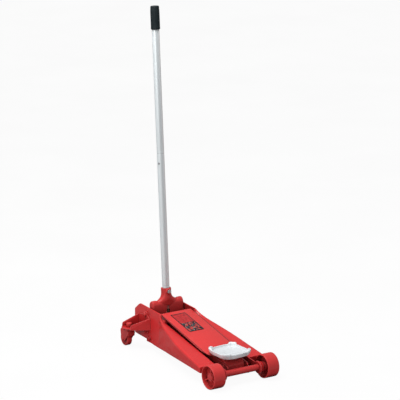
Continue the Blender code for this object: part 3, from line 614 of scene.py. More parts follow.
RED = (0.74, 0.043, 0.043)
# A near-black red: painted shade on the hydraulic unit and ram head, which sit in the dark between the
# frames.
DEEP_SHADE_RED = (0.24, 0.016, 0.017)
FRAME_RED = (0.70, 0.029, 0.031)
FRAME_PAINT = painted("frame_paint", FRAME_RED, 0.33, 0.22, reach=0.05, shadowed="inside")
# A darker copy of the frame paint as painted shade on the brackets, with stronger painted highlights on
# their edges.
BRACKET_SHADED_PAINT = painted("bracket_paint", shade(FRAME_RED, 0.86), 0.33, 0.22, edge_wear_and_highlight=0.9, reach=0.06)
COVER_PAINT = painted("cover_paint", RED, 0.36, 0.28, shadowed="across", line=0.0755)
CAST_PAINT = painted("cast_paint", shade(RED, 0.82), 0.38, 0.3, lumps=0.25, hollow_dust_and_shade=0.45, edge_wear_and_highlight=0.45)
WHEEL_PAINT = painted("wheel_paint", shade(RED, 0.9), 0.42, 0.3, lumps=0.2, hollow_dust_and_shade=0.45, reach=0.05)
# A darker copy of the red as painted shade on the parallel rods, whose side faces are shaded further.
ROD_SHADED_PAINT = painted("rod_paint", shade(RED, 0.8), 0.4, 0.3, shadowed="across")
CARRIER_PAINT = painted("carrier_paint", shade(RED, 0.98), 0.42, 0.3, lumps=0.2, reach=0.07)
# Painted shade: the near-black red for the parts deep between the frames.
DARK_SHADE_PAINT = painted("dark_shade_paint", DEEP_SHADE_RED, 0.42, 0.3, lumps=0.2)
TURNED_STEEL = metal("turned_steel", (0.52, 0.52, 0.53), 0.32)
ZINC = metal("zinc_plate", (0.62, 0.63, 0.62), 0.34, scale=300.0)
# Yellow zinc made dark as painted shade, so the valve and pump parts seen in the socket's slot read as
# dark.
SHADE_DARK_YELLOW_ZINC = metal("shade_dark_yellow_zinc", (0.24, 0.195, 0.11), 0.45, scale=300.0)
CHROME = metal("ram_chrome", (0.8, 0.81, 0.82), 0.16, (0.2, 1, 1), 300.0, 0.05, 0.05)
SPRING_STEEL = metal("spring_steel", (0.4, 0.4, 0.42), 0.35)
SADDLE_CAST = plated_casting("saddle_casting", (0.80, 0.84, 0.87))
TUBE_SILVER = tube_paint("tube_silver", (0.83, 0.885, 0.905))
GRIP_RUBBER = rubber("grip_rubber", (0.008, 0.014, 0.016))
PLUG_RUBBER = rubber("plug_rubber", (0.02, 0.02, 0.02))


# ---- side frames ----
# x, height of the deck's inner edge, height of its outer edge, half-width at the shoulder,
# softness of the shoulder, half-width and height of the crease, half-width and height of the
# foot.
FRAME_STATIONS = [
    (-688, 150, 150, 85.6, 1.5, 86, 90, 85.6, 42),
    (-646, 183, 183, 85.6, 1.5, 86, 88, 85.6, 40),
    (-592, 181, 181, 85.6, 1.5, 86, 84, 85.6, 38),
    (-590, 181, 181, 85.6, 1.5, 86, 80, 85.7, 28),
    (-552, 179.5, 179.5, 85.7, 1.5, 86, 76, 85.8, 28.5),
    (-520, 178, 178, 86.2, 2, 89, 74, 91.5, 29),
    (-478, 176.5, 176.5, 87, 3, 94, 70, 97, 30.5),
    (-472, 158, 171, 94, 8, 97, 69, 98, 31),
    (-452, 148, 160, 101, 13, 102, 68, 100.5, 32),
    (-410, 139, 145, 114, 14, 112, 67, 106, 34),
    (-350, 128, 131, 127, 14, 122, 66, 114, 36),
    (-267, 112, 113, 142, 14, 134, 65, 125, 39.5),
    (-158, 91.5, 92.5, 152, 14, 145, 63, 140, 44),
    (-66, 74, 75, 156, 12, 154, 60, 153, 48),
]
FRAME_SKIN = 5.0
FRAME_REAR = -688
DECK_START = -472


def station_at(x):
    """The frame's measures at x: straight lines behind the deck, smooth curves along it."""
    rows = FRAME_STATIONS
    k = next(i for i in range(len(rows) - 1) if rows[i][0] <= x <= rows[i + 1][0])
    near, far = rows[k], rows[k + 1]
    t = (x - near[0]) / (far[0] - near[0])
    if far[0] <= DECK_START:
        return [a + (b - a) * t for a, b in zip(near, far)]
    before = rows[k - 1] if near[0] > DECK_START else near
    after = rows[k + 2] if k + 2 < len(rows) else far
    span = far[0] - near[0]
    values = [x]
    for b, n, f, a in list(zip(before, near, far, after))[1:]:
        rise_near = (f - b) / (far[0] - before[0]) * span
        rise_far = (a - n) / (after[0] - near[0]) * span
        values.append((2 * t**3 - 3 * t**2 + 1) * n + (t**3 - 2 * t**2 + t) * rise_near
                      + (3 * t**2 - 2 * t**3) * f + (t**3 - t**2) * rise_far)
    return values


def frame_section(station, shrink=0.0, skin=0.0, drop=0.0):
    """Closed (y, z) section of a station. skin moves its walls inwards, drop opens its foot."""
    x, z_inner, z_outer, y_top, soft, y_crease, z_crease, y_low, z_low = station
    inner = PLATE_INNER_Y + skin
    corners = [(inner, z_low - drop), (inner, z_inner - skin), (y_top - skin, z_outer - skin),
               (y_crease - skin, z_crease), (y_low - skin, z_low - drop)]
    setbacks = [1.2, 1.8, soft, 9, 1.6]
    section = rounded(corners, setbacks, 7)
    if shrink:
        section = inset(section, shrink)
    return [(x, y, z) for y, z in section]


def frame_outline_at(x):
    """A station whose rear end follows the plate's rounded outline."""
    station = station_at(x)
    if x > -600:
        return station
    top = bend((FRAME_REAR, 150), (-646, 183), (-592, 181), 11, 8)
    if top[0][0] < x < top[-1][0]:
        k = next(i for i in range(len(top) - 1) if top[i][0] <= x <= top[i + 1][0])
        t = (x - top[k][0]) / (top[k + 1][0] - top[k][0])
        station[1] = station[2] = top[k][1] + (top[k + 1][1] - top[k][1]) * t
    back = x - FRAME_REAR
    if back < 5:
        lift = 5 - sqrt(max(0.0, 25 - (5 - back) ** 2))
        station[1] = station[2] = station[1] - lift * 0.8
        station[8] += lift
    return station


def side_frame():
    xs = [-686.8, -686, -685, -683.5, -680, -670, *range(-658, -632, 2), -625, -610, -592, -590, -570,
          -552, -540, -520, -500, -485, -478, -476, -474]
    xs += [DECK_START + 6 * i for i in range(68)]
    sections = [frame_section([FRAME_REAR, *frame_outline_at(-687.9)[1:]], 1.4),
                frame_section([-687.6, *frame_outline_at(-687.6)[1:]], 0.45)]
    sections += [frame_section(frame_outline_at(x)) for x in xs]
    sections += [frame_section([-66.3, *station_at(-66.3)[1:]], 0.35),
                 frame_section([-65.8, *station_at(-66)[1:]], 1.2)]
    shell = lofted(sections)
    hollow_xs = [-462, -461] + [-456 + 8 * i for i in range(49)]
    hollow = lofted([frame_section(station_at(x), 0, FRAME_SKIN, 4) for x in hollow_xs if x <= -71])
    horn_corners = [(-92, 50), (-60, 35.5), (-22, 31), (-22, 69), (-60, 72.5), (-92, 76)]
    horn = upright(rounded(horn_corners, [1, 14, 2, 2, 14, 1], 6), PLATE_INNER_Y + 0.2,
                   WEB_OUTER_Y - 0.2, 0.9)
    eye = cross_rod(25, (0, WHEEL_RADIUS), PLATE_INNER_Y + 0.2, WEB_OUTER_Y - 0.2, 72, 0.9)
    boss = [(0, 0), (24.2, 0), (22.6, 2.2), (21.9, 6), (21.6, 19.2), (0, 19.2)]
    boss = along(turned(boss, 72, 1.3), (0, PLATE_INNER_Y + 1, WHEEL_RADIUS), (0, 1, 0))
    seam = turned([(0, 0), (27.5, 0), (25.6, 1.6), (24, 3.4), (0, 3.4)], 72, 0.9)
    seam = along(seam, (0, WEB_OUTER_Y - 0.6, WHEEL_RADIUS), (0, 1, 0))
    body = joined(cut(shell, hollow), horn, eye, boss, seam)
    holes = [
        cross_rod(13.8, (0, WHEEL_RADIUS), 70, 115, 48, 0),
        cross_rod(PIVOT_BORE, ARM_PIVOT, 70, 120, 48, 0),
        cross_rod(ANCHOR_BORE, rod_pin(ARM_PIVOT), 70, 120, 32, 0),
        cross_rod(SOCKET_BORE, SOCKET_PIVOT, 70, 100, 32, 0),
    ]
    holes += [cross_rod(BOLT_BORE, place, 70, 100, 32, 0) for place in (BRACKET_BOLT, *UNIT_BOLTS)]
    return cut(body, *holes)


def rod_pin(pin):
    return (pin[0] + ROD_OFFSET[0], pin[1] + ROD_OFFSET[1])


def capped_shaft(radius, place, reach):
    """A cross shaft whose ends are chamfered and dimpled."""
    profile = [(0, -reach + 1.6), (3, -reach + 1.2), (radius - 2.2, -reach), (radius, -reach + 1.6),
               (radius, reach - 1.6), (radius - 2.2, reach), (3, reach - 1.2), (0, reach - 1.6)]
    return along(turned(profile, 48, 0.6), (place[0], 0, place[1]), (0, 1, 0))


def frame_pieces():
    show_pair("frame_side", side_frame, FRAME_PAINT, "frame", "side_frame_{}", 30)
    profile = [(0, -150), (11, -150), (11, -101.6), (13.5, -101.6), (13.5, -80), (13.1, -78), (13.1, 78),
               (13.5, 80), (13.5, 101.6), (11, 101.6), (11, 150), (0, 150)]
    axle = along(turned(profile, 72, 0.8), (0, 0, WHEEL_RADIUS), (0, 1, 0))
    show("axle_bar", axle, CAST_PAINT, "frame", ["front_axle"])
    show("pivot_shaft", capped_shaft(12, ARM_PIVOT, 98.6), CAST_PAINT, "frame",
         ["arm_pivot_shaft"])
    anchor = rod_pin(ARM_PIVOT)
    show_pair("anchor_pin", lambda: cross_rod(7, anchor, 54, 103, 40, 1.2), CAST_PAINT, "frame",
              "rod_anchor_pin_{}")
    show_pair("pivot_pin", lambda: cross_rod(9, SOCKET_PIVOT, 50, 85.7, 48, 1.4), CAST_PAINT, "frame",
              "socket_pivot_pin_{}")


# ---- front wheels ----
def front_wheel():
    """A cast roller: rounded shoulders, a deep ribbed recess outside and an open one inside."""
    half = 27.2
    profile = [(11.3, -half + 2), (18.5, -half + 2), (20, -6), (42.6, -5), (44.8, -half + 1),
               (45.6, -half), (48.2, -half), (49.6, -half + 1.6), (50, -half + 5), (50, half - 5),
               (49.6, half - 1.6), (48.2, half), (45.6, half), (44.8, half - 1), (42.6, 4.5),
               (21.5, 5.5), (19.3, half - 11.6), (18, half - 11), (11.3, half - 11)]
    wheel = turned(profile, 128, 1.3)
    ribs = []
    for i in range(3):
        outline = rounded([(17, -4), (46, -4), (46, half - 9), (36, half - 12.5), (24, half - 13),
                           (17, half - 12.5)], 1.2, 3)
        rib = sheet(outline, -3, 3, 1.2, lambda u, v, d: (u, d, v))
        rib.transform(Matrix.Rotation(radians(120 * i + 30), 4, "Z"))
        ribs.append(rib)
    wheel = joined(wheel, *ribs)
    wheel.transform(Matrix.Rotation(radians(-90), 4, "X"))
    wheel.transform(Matrix.Translation((0, WHEEL_FACE_Y - half, WHEEL_RADIUS)))
    return wheel


def retainer():
    """A collar on the axle's end that holds the wheel."""
    face = WHEEL_FACE_Y - 11 + GAP
    profile = [(11.3, 0), (15.2, 0), (15.5, 0.8), (15.5, 2), (14.6, 2.7), (11.3, 2.7)]
    return along(turned(profile, 64, 0.25), (0, face, WHEEL_RADIUS), (0, 1, 0))


def wheel_pieces():
    show_pair("roller", front_wheel, WHEEL_PAINT, "front_wheel_{}", "front_wheel_{}", 32)
    show_pair("roller_collar", retainer, WHEEL_PAINT, "frame", "wheel_retainer_{}")


# ---- lift arm ----
def cover_height(x):
    share = (x - COVER_REAR[0]) / (COVER_FRONT[0] - COVER_REAR[0])
    return COVER_REAR[1] + (COVER_FRONT[1] - COVER_REAR[1]) * share


def sloped(mesh):
    for vert in mesh.verts:
        vert.co.z += cover_height(vert.co.x)
    return mesh


def lift_arm():
    half = 80.0
    front = COVER_FRONT[0]
    plan = [(COVER_REAR[0], -77), (front - 47, -half), (front - 13, -half + 13),
            (front, -half + 37), (front, half - 37), (front - 13, half - 13), (front - 47, half),
            (COVER_REAR[0], 77)]
    cover = sloped(flat(rounded(plan, [2.5, 26, 16, 12, 12, 16, 26, 2.5], 8), -5, 0, 1.6))
    parts = []
    for side in (1, -1):
        corners = [*arc(ARM_PIVOT, 24, 120, 260, 10), (-300, 72), *arc(HEAD_PIN, 15, 235, 275, 3),
                   *arc((HEAD_PIN[0] + 17, HEAD_PIN[1] - 2), 14, 280, 440, 10),
                   (front + 8, cover_height(front) - 5), (front - 4, cover_height(front) - 2.5),
                   (ARM_PIVOT[0], cover_height(ARM_PIVOT[0]) - 2.5)]
        setbacks = [2.0] * 11 + [40] + [2.0] * 15 + [4, 2, 1]
        parts.append(upright(rounded(corners, setbacks, 3), side * 45.0, side * 51.0, 1.0))
        lever = [*arc((ARM_PIVOT[0], RAM_Z), 14, 180, 360, 16), *arc(ARM_PIVOT, 20, 20, 160, 10)]
        parts.append(upright(lever, side * 16.0, side * 24.0, 1.0))
    parts.append(cross_rod(16.5, ARM_PIVOT, -51, 51, 64, 1.0))
    parts.append(cross_rod(10, (-150, 66), -47, 47))
    arm = joined(cover, *parts)
    return cut(arm, cross_rod(PIVOT_BORE, ARM_PIVOT, -90, 90, 48, 0),
               cross_rod(HEAD_BORE, HEAD_PIN, -90, 90, 40, 0),
               cross_rod(LEVER_BORE, (ARM_PIVOT[0], RAM_Z), -40, 40, 40, 0))


def label_paint():
    """A printed sheet with a dark border: a plain red half and a half of mixed dark blocks.

    There is no lettering.
    """
    s = Shader("label_print")
    low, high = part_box("label_plate")
    size = high - low
    sheet_place = s.mapped(Location=(-low.x / size.x, -low.y / size.y, 0),
                           Scale=(1 / size.x, 1 / size.y, 0))
    x, y = s.component(sheet_place, "X"), s.component(sheet_place, "Y")
    front = s.spread(x, 0.515, 0.525, 0.0, 1.0)
    cells = s.add("ShaderNodeTexVoronoi", Scale=1.0, distance="CHEBYCHEV")
    s.links.new(s.mapped(Scale=(95.0, 150.0, 1.0)), cells.inputs["Vector"])
    tile = s.add("ShaderNodeSeparateColor")
    s.links.new(cells.outputs["Color"], tile.inputs["Color"])
    patch = (0.012, 0.012, 0.016)
    for channel, start, end, colour in (("Green", 0.4, 0.6, (0.025, 0.045, 0.055)),
                                        ("Red", 0.56, 0.62, (0.50, 0.05, 0.045)),
                                        ("Blue", 0.84, 0.88, (0.30, 0.16, 0.14))):
        patch = s.mixed(s.spread(tile.outputs[channel], start, end, 0.0, 1.0), patch, colour)
    plain = s.mixed(s.spread(s.noise(120.0, 4.0), 0.4, 0.62, 0.0, 1.0), (0.56, 0.030, 0.032),
                    (0.36, 0.018, 0.022))
    tone = s.mixed(front, plain, patch)
    for source, edge, width in ((x, 0.0, 0.034), (x, 1.0, 0.03), (y, 0.0, 0.05), (y, 1.0, 0.05)):
        inner = edge + width if edge == 0.0 else edge - width
        tone = s.mixed(s.spread(source, inner, edge, 0.0, 40.0), tone, (0.02, 0.02, 0.022))
    s.set(Base_Color=tone, Roughness=0.42, Specular_IOR_Level=MATT)
    s.bump([(s.noise(600.0, 2.0), 0.15, 0.0002)])
    return s.material


def label():
    corners = [(-471, -41), (-320, -41), (-320, 32), (-471, 32)]
    return sloped(flat(rounded(corners, 4, 5), GAP, 1.1, 0.25))


def arm_pieces():
    foot = (ARM_PIVOT[0], RAM_Z)
    show("arm_and_cover", lift_arm(), COVER_PAINT, "lift_arm", ["lift_arm"], 30)
    show("label_sheet", label(), label_paint(), "lift_arm", ["label_plate"])
    roller = along(turned([(6.3, -15), (13, -15), (14, -13), (14, 13), (13, 15), (6.3, 15)], 64, 0.8),
                   (foot[0], 0, foot[1]), (0, 1, 0))
    show("lever_wheel", roller, TURNED_STEEL, "lift_arm", ["lever_roller"])
    show("lever_pin", cross_rod(6, foot, -26, 26, 40, 1), TURNED_STEEL, "lift_arm", ["lever_roller_pin"])
    show("arm_head_pin", capped_shaft(8, HEAD_PIN, 53), CAST_PAINT, "lift_arm", ["head_pin"])


# ---- saddle, carrier and rods ----
def saddle():
    """A square cast dish: a soft, faintly wavy rim, a lug on each corner and a turned stem."""
    steps = 192
    floor = SADDLE_TOP - 14
    loops = []

    def edge_radius(angle, half):
        """Distance to a rounded square's edge at angle, for a half side of half."""
        power = 3.5
        c, d = abs(cos(angle)), abs(sin(angle))
        return half / (c**power + d**power) ** (1 / power)

    def corner(angle):
        """1 round a diagonal, 0 away from it."""
        off = abs((degrees(angle) - 45) % 90)
        off = min(off, 90 - off)
        t = max(0.0, min(1.0, (15.5 - off) / 6.5))
        return t * t * (3 - 2 * t)

    # Share of the half side, height, and how far out and up the lugs stand there.
    for share, low, lug_out, lug_up in (
            (0.10, floor - 1.4, 0, 0), (0.30, floor - 1.4, 0, 0), (0.34, floor - 0.6, 0, 0),
            (0.70, floor - 0.4, 0, 0), (0.86, floor, 0, 0.2), (0.895, floor + 1.2, 0, 1.2),
            (0.915, floor + 4.2, 0, 4.4), (0.925, floor + 6.3, 2.4, 6.4),
            (0.945, floor + 7.2, 4.0, 6.8), (0.975, floor + 7.2, 5.6, 6.8),
            (0.995, floor + 6.2, 7.6, 6.4), (1.0, floor + 4.2, 8.4, 4.6),
            (0.992, floor + 1.0, 7.4, 2.4), (0.99, floor - 2.6, 5.0, 0.6),
            (0.98, floor - 7.2, 3.0, 0), (0.955, floor - 10.2, 1.6, 0),
            (0.90, floor - 11.8, 0.6, 0), (0.80, floor - 12.5, 0, 0),
            (0.66, floor - 12.8, 0, 0), (0.36, floor - 13.0, 0, 0)):
        ring_points = []
        for i in range(steps):
            angle = 2 * pi * i / steps
            lug = corner(angle)
            radius = edge_radius(angle, SADDLE_HALF) * share + lug * lug_out
            wave = 0.5 * sin(7 * angle) * share * share
            height = low + lug * lug_up + wave * 0.4
            ring_points.append((radius * cos(angle), radius * sin(angle), height))
        loops.append(ring_points)
    stem = ((14, floor - 13.2), (12.4, floor - 14), (12, floor - 16), (12, 79.5), (11.2, 78.2))
    loops += [circle(radius, height, steps) for radius, height in stem]
    whole = lofted(loops)
    turn = Matrix.Rotation(radians(SADDLE_TURN), 4, "Z")
    whole.transform(Matrix.Translation((SADDLE_X, 0, 0)) @ turn)
    return whole


def saddle_carrier():
    low = rod_pin(HEAD_PIN)
    corners = [(-102, 92), (-104, 80), (-98, 50), *arc(low, 12, 220, 340, 10), (-35, 56), (-36, 66),
               (-61, 92)]
    setbacks = [3, 6, 14] + [1.5] * 11 + [3, 5, 3]
    body = upright(rounded(corners, setbacks, 3), -44, 44, 2.4)
    return cut(cast(body, 1.1, 4), rod(STEM_BORE, (SADDLE_X, 0, 76), (SADDLE_X, 0, 130), 48, 0),
               cross_rod(HEAD_BORE, HEAD_PIN, -60, 60, 48, 0), cross_rod(ROD_BORE, low, -60, 60, 48, 0))


def radius_rod():
    rear = rod_pin(ARM_PIVOT)
    front = rod_pin(HEAD_PIN)
    slope = degrees(atan2(front[1] - rear[1], front[0] - rear[0]))
    outline = arc(rear, 13, slope + 90, slope + 270, 24) + arc(front, 13, slope - 90, slope + 90, 24)
    return cut(upright(outline, 56, 62, 1.2), cross_rod(ANCHOR_BORE, rear, 40, 80, 40, 0),
               cross_rod(ROD_BORE, front, 40, 80, 40, 0))


def head_pieces():
    show("carrier_block", saddle_carrier(), CARRIER_PAINT, "saddle_carrier", ["saddle_carrier"],
         30)
    show("carrier_pin", capped_shaft(6, rod_pin(HEAD_PIN), 65), CAST_PAINT, "saddle_carrier",
         ["rod_head_pin"])
    show("saddle_dish", saddle(), SADDLE_CAST, "saddle", ["saddle"], 50)
    show_pair("parallel_rod", radius_rod, ROD_SHADED_PAINT, "radius_rods", "radius_rod_{}")


# ---- hydraulic unit ----
PLUNGER_X = SOCKET_PIVOT[0] - PUMP_ARM * cos(radians(PUMP_SWING / 4))
PLUNGER_TOP = SOCKET_PIVOT[1] + PUMP_ARM * sin(radians(PUMP_SWING / 2)) - 8.9
UNIT_TOP = 104.0
UNIT_FRONT = -545.0
CROSSHEAD_FACE = ARM_PIVOT[0] - 14 - GAP


def power_unit():
    """The cast block with its mounting ears, pump turret and valve collar."""
    plan = [(-655, -44), (UNIT_FRONT, -56), (UNIT_FRONT, 56), (-655, 44)]
    block = flat(rounded(plan, 8, 5), 44, UNIT_TOP, 3)
    ears = brick(-604, -552, -80.6, 80.6, 40, 88, 3)
    rib = brick(-640, -560, -5, 5, 60, UNIT_TOP + 4, 2)
    body = joined(block, ears, rib, rod(15, (PLUNGER_X, PUMP_Y, 90), (PLUNGER_X, PUMP_Y, 113)),
                  rod(13.2, (SOCKET_PIVOT[0], 0, 90), (SOCKET_PIVOT[0], 0, 113)),
                  rod(12.5, (-636, -24, 90), (-636, -24, UNIT_TOP + 1)))
    body = cast(body, 1.6, 6)
    holes = [
        rod(7.3, (PLUNGER_X, PUMP_Y, 52), (PLUNGER_X, PUMP_Y, 120), 40, 0),
        rod(6.4, (SOCKET_PIVOT[0], 0, 88), (SOCKET_PIVOT[0], 0, 120), 40, 0),
        rod(9, (-636, -24, 92), (-636, -24, 120), 40, 0),
        rod(20, (-640, 0, RAM_Z), (-540, 0, RAM_Z), 48, 0),
        brick(-650, -500, -60, 60, UNIT_TOP + 8.2, 140),
    ]
    holes += [cross_rod(BOLT_BORE, place, *span, 32, 0)
              for place in UNIT_BOLTS for span in ((66, 90), (-90, -66))]
    return cut(body, *holes)


def pump_spring():
    """A round-wire coil spring with flattened end turns."""
    bottom, top, radius, wire = 113.4, PLUNGER_TOP - 6.4, 10.0, 1.25
    turns, per_turn, sides = 6.5, 36, 12
    count = int(turns * per_turn)
    curve = []
    for i in range(count + 1):
        share = i / count
        rise = max(0.0, min(1.0, (share - 0.09) / 0.82))
        height = bottom + (top - bottom) * rise + (share - 0.5) * 1.2
        angle = 2 * pi * i / per_turn
        curve.append(Vector((radius * cos(angle), radius * sin(angle), height)))
    sections = []
    for point in curve:
        out = Vector((point.x, point.y, 0)).normalized()
        sections.append([point + out * wire * cos(2 * pi * k / sides)
                         + Vector((0, 0, wire * sin(2 * pi * k / sides))) for k in range(sides)])
    mesh = lofted(sections)
    mesh.transform(Matrix.Translation((PLUNGER_X, PUMP_Y, 0)))
    return mesh


def universal_fork(shaft_length):
    base = rod(12.5, (0, 0, -26), (0, 0, -21.5), 48, 1)
    ears = [brick(*span, -4, 4, -23, 5, 1) for span in ((-12, -9), (9, 12))]
    shaft = rod(6, (0, 0, -26 - shaft_length), (0, 0, -24), 40)
    return joined(base, *ears, shaft)


def hydraulic_pieces():
    joint = (SOCKET_PIVOT[0], 0, SOCKET_PIVOT[1])
    show("pump_block", power_unit(), DARK_SHADE_PAINT, "frame", ["power_unit"], 32)
    profile = [(20, 0), (41, 0), (42, 1.5), (42, 39), (39.5, 43), (36, 44.7), (20, 44.7)]
    tank = along(turned(profile, 96, 1.0), (UNIT_FRONT + GAP, 0, RAM_Z), (1, 0, 0))
    show("oil_tank", tank, DARK_SHADE_PAINT, "frame", ["reservoir"])
    slots = [brick(-501.5, -490, *span, RAM_Z - 2, RAM_Z + 2, 0.3) for span in ((-24, -13), (13, 24))]
    gland = cut(ring(15.3, 19.6, (-518, 0, RAM_Z), (-497, 0, RAM_Z), 96, 0.6), *slots)
    show("gland_nut", gland, TURNED_STEEL, "frame", ["ram_gland_nut"])
    length = 149.7
    profile = [(0, 0), (19.5, 0), (19.5, 16), (15, 16), (15, length), (0, length)]
    back = CROSSHEAD_FACE - 6 - length
    show("ram_rod", along(turned(profile, 96, 0.8), (back, 0, RAM_Z), (1, 0, 0)), CHROME, "ram",
         ["ram"])
    head = joined(brick(CROSSHEAD_FACE - 11, CROSSHEAD_FACE, -14, 14, RAM_Z - 15, RAM_Z + 48, 1.6),
                  rod(19, (CROSSHEAD_FACE - 20, 0, RAM_Z), (CROSSHEAD_FACE - 8, 0, RAM_Z), 64, 1.2))
    head = cut(head, rod(15.2, (CROSSHEAD_FACE - 30, 0, RAM_Z), (CROSSHEAD_FACE - 5.8, 0, RAM_Z),
                         64, 0))
    show("ram_head", head, DARK_SHADE_PAINT, "ram", ["ram_crosshead"])
    plug = turned([(0, -9), (8.6, -9), (8.6, 0), (11, 0), (11, 3), (9.5, 5.6), (0, 6)], 48, 0.8)
    show("oil_plug", along(plug, (-636, -24, UNIT_TOP + GAP), (0, 0, 1)), PLUG_RUBBER, "frame",
         ["filler_plug"])
    profile = [(0, 96), (7, 96), (7, PLUNGER_TOP - 5), (12.5, PLUNGER_TOP - 5), (12.5, PLUNGER_TOP - 1),
               (11, PLUNGER_TOP), (0, PLUNGER_TOP)]
    show("plunger", along(turned(profile, 64, 0.5), (PLUNGER_X, PUMP_Y, 0), (0, 0, 1)), SHADE_DARK_YELLOW_ZINC,
         "pump_plunger", ["pump_plunger"])
    spring = show("spring_coil", pump_spring(), SPRING_STEEL, "frame", ["pump_spring"])
    anchor = centre_of("pump_spring")
    anchor.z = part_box("pump_spring")[0].z
    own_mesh(spring)
    spindle = universal_fork(joint[2] - 26 - 97)
    spindle.transform(Matrix.Translation(joint))
    show("valve_spindle", spindle, SHADE_DARK_YELLOW_ZINC, "release_valve", ["release_spindle"])
    cross = along(turned([(0, -7), *arc((0, 0), 7, -70, 70, 12), (0, 7)], 48, 0), joint, (0, 0, 1))
    show("valve_cross", cross, SHADE_DARK_YELLOW_ZINC, "release_valve", ["universal_cross"])


# ---- casters ----
def bracket():
    """A welded channel: a floor with a round nose, two gussets and a plate bolted to the frame."""
    inner = WEB_OUTER_Y + GAP
    wall = inner + 5
    tip = CASTER_PIN[1] + 18
    rear_line = ((-650, wall - 2), (-672, tip))
    front_line = ((-557, inner + 0.4), (-602, tip))
    nose = arc(CASTER_PIN, 33, 34, 146, 24)
    plan = [rear_line[0], front_line[0], front_line[1], *nose, rear_line[1]]
    floor = flat(rounded(plan, [1, 1, 9] + [1] * 25 + [9], 3), BRACKET_FLOOR, BRACKET_FLOOR + 5, 1.0)
    lower_tab = [(-604, BRACKET_FLOOR), *arc(UNIT_BOLTS[0], 14, 180, 360, 18), (-576, BRACKET_FLOOR)]
    upper_tab = arc(BRACKET_BOLT, 15, 0, 180, 18)
    face = [(-650, BRACKET_FLOOR), *lower_tab, (-563, BRACKET_FLOOR), (-563, 139), *upper_tab, (-650, 139)]
    plate = upright(rounded(face, 0.9, 2), inner, wall, 0.6)
    gussets = []
    for (start, end), way, end_top in ((rear_line, 1, 103), (front_line, -1, 105)):
        length = (Vector(end) - Vector(start)).length
        side = (Vector(end) - Vector(start)).normalized()
        across = Vector((-side.y, side.x)) if way < 0 else Vector((side.y, -side.x))
        across = across if across.x * way > 0 else -across
        corners = [(0, BRACKET_FLOOR + 1), (length, BRACKET_FLOOR + 1), (length, end_top), (0, 138)]

        def place(u, v, d, start=start, side=side, across=across):
            point = Vector(start) + side * u + across * d
            return (point.x, point.y, v)

        gussets.append(sheet(rounded(corners, [1, 1, 7, 2], 5), 0, 4.6, 1.1, place))
    body = joined(floor, plate, *gussets)
    holes = [rod(KINGPIN_BORE, (*CASTER_PIN, 70), (*CASTER_PIN, 110), 40, 0)]
    holes += [cross_rod(BOLT_BORE, place, 80, 110, 32, 0) for place in (BRACKET_BOLT, UNIT_BOLTS[0])]
    return cut(body, *holes)


def kingpin():
    top = BRACKET_FLOOR + 5 + GAP
    profile = [(0, 63), (12, 63), (12, 67.7), (8, 67.7), (8, top), (13.5, top), (13.5, top + 12.5),
               (12.2, top + 15.6), (9, top + 17.6), (4.5, top + 18.5), (0, top + 18.5)]
    return along(turned(profile, 72, 1.0), (*CASTER_PIN, 0), (0, 0, 1))


def caster_fork():
    """A cast yoke: a round crown that runs down into two cheeks with a closed front."""
    x, y = CASTER_PIN
    half = 17.0
    crown = flat(rounded([(x - 46, y - half), *arc(CASTER_PIN, 22, -50, 50, 8), (x - 46, y + half)],
                         [6] + [1] * 9 + [6], 4), 68, 73.6, 1.6)
    legs = []
    for side in (1, -1):
        corners = [(x + 18, 73), (x + 19.5, 60), *arc(CASTER_AXLE, 14, 320, 200, 12), (x - 47, 60),
                   (x - 45, 73)]
        outline = rounded(corners, [3, 10] + [1] * 13 + [10, 4], 3)
        near = y + side * 13
        legs.append(upright(outline, near, near + side * 4.2, 1.2))
    hood = brick(x + 12.5, x + 17.5, y - half + 0.8, y + half - 0.8, 50, 71, 1.2)
    body = cast(joined(crown, *legs, hood, rod(17, (x, y, 72), (x, y, 78.2), 64, 1)), 0.9, 5)
    return cut(body, rod(KINGPIN_BORE, (x, y, 60), (x, y, 90), 40, 0),
               cross_rod(5.3, CASTER_AXLE, y - 30, y + 30, 40, 0),
               brick(x - 60, x + 40, y - 40, y + 40, 77.7, 90))


def caster_wheel():
    half = [(5.3, 11), (10.4, 11), (12, 7.4), (23, 7), (24.6, 11), (28.6, 11), (30.4, 9.8), (31, 7)]
    profile = [(radius, -depth) for radius, depth in half] + half[::-1]
    return along(turned(profile, 96, 1.0), (CASTER_AXLE[0], CASTER_PIN[1], CASTER_AXLE[1]), (0, -1, 0))


def caster_axle():
    leg = 17.3
    profile = [(0, -leg - 3.8), (3, -leg - 3.8), (7, -leg - 3), (9, -leg), (5, -leg), (5, leg), (9, leg),
               (7, leg + 3), (3, leg + 3.8), (0, leg + 3.8)]
    return along(turned(profile, 48, 0.7), (CASTER_AXLE[0], CASTER_PIN[1], CASTER_AXLE[1]), (0, 1, 0))


def caster_pieces():
    show_pair("bracket_channel", bracket, BRACKET_SHADED_PAINT, "frame", "caster_bracket_{}", 30)
    show_pair("pivot_cap", kingpin, CAST_PAINT, "frame", "kingpin_{}")
    show_pair("washer", lambda: ring(8.3, 16, (*CASTER_PIN, 78), (*CASTER_PIN, BRACKET_FLOOR - GAP)), ZINC,
              "frame", "thrust_washer_{}")
    show_pair("yoke", caster_fork, CAST_PAINT, "caster_{}", "caster_fork_{}", 40)
    show_pair("yoke_axle", caster_axle, CAST_PAINT, "caster_{}", "caster_axle_{}")
    show_pair("trail_wheel", caster_wheel, WHEEL_PAINT, "caster_wheel_{}", "caster_wheel_{}")
    bolts = (("bracket_screw", BRACKET_BOLT, 91.6, 10, "bracket_bolt_{}"),
             ("upper_screw", UNIT_BOLTS[0], 91.6, 24, "unit_bolt_upper_{}"),
             ("lower_screw", UNIT_BOLTS[1], 86.3, 20, "unit_bolt_lower_{}"))
    for name, place, face, length, node in bolts:
        show_pair(name, lambda: hex_bolt((place[0], face, place[1]), (0, 1, 0), 5, length, 10, 6.3),
                  CAST_PAINT, "frame", node)


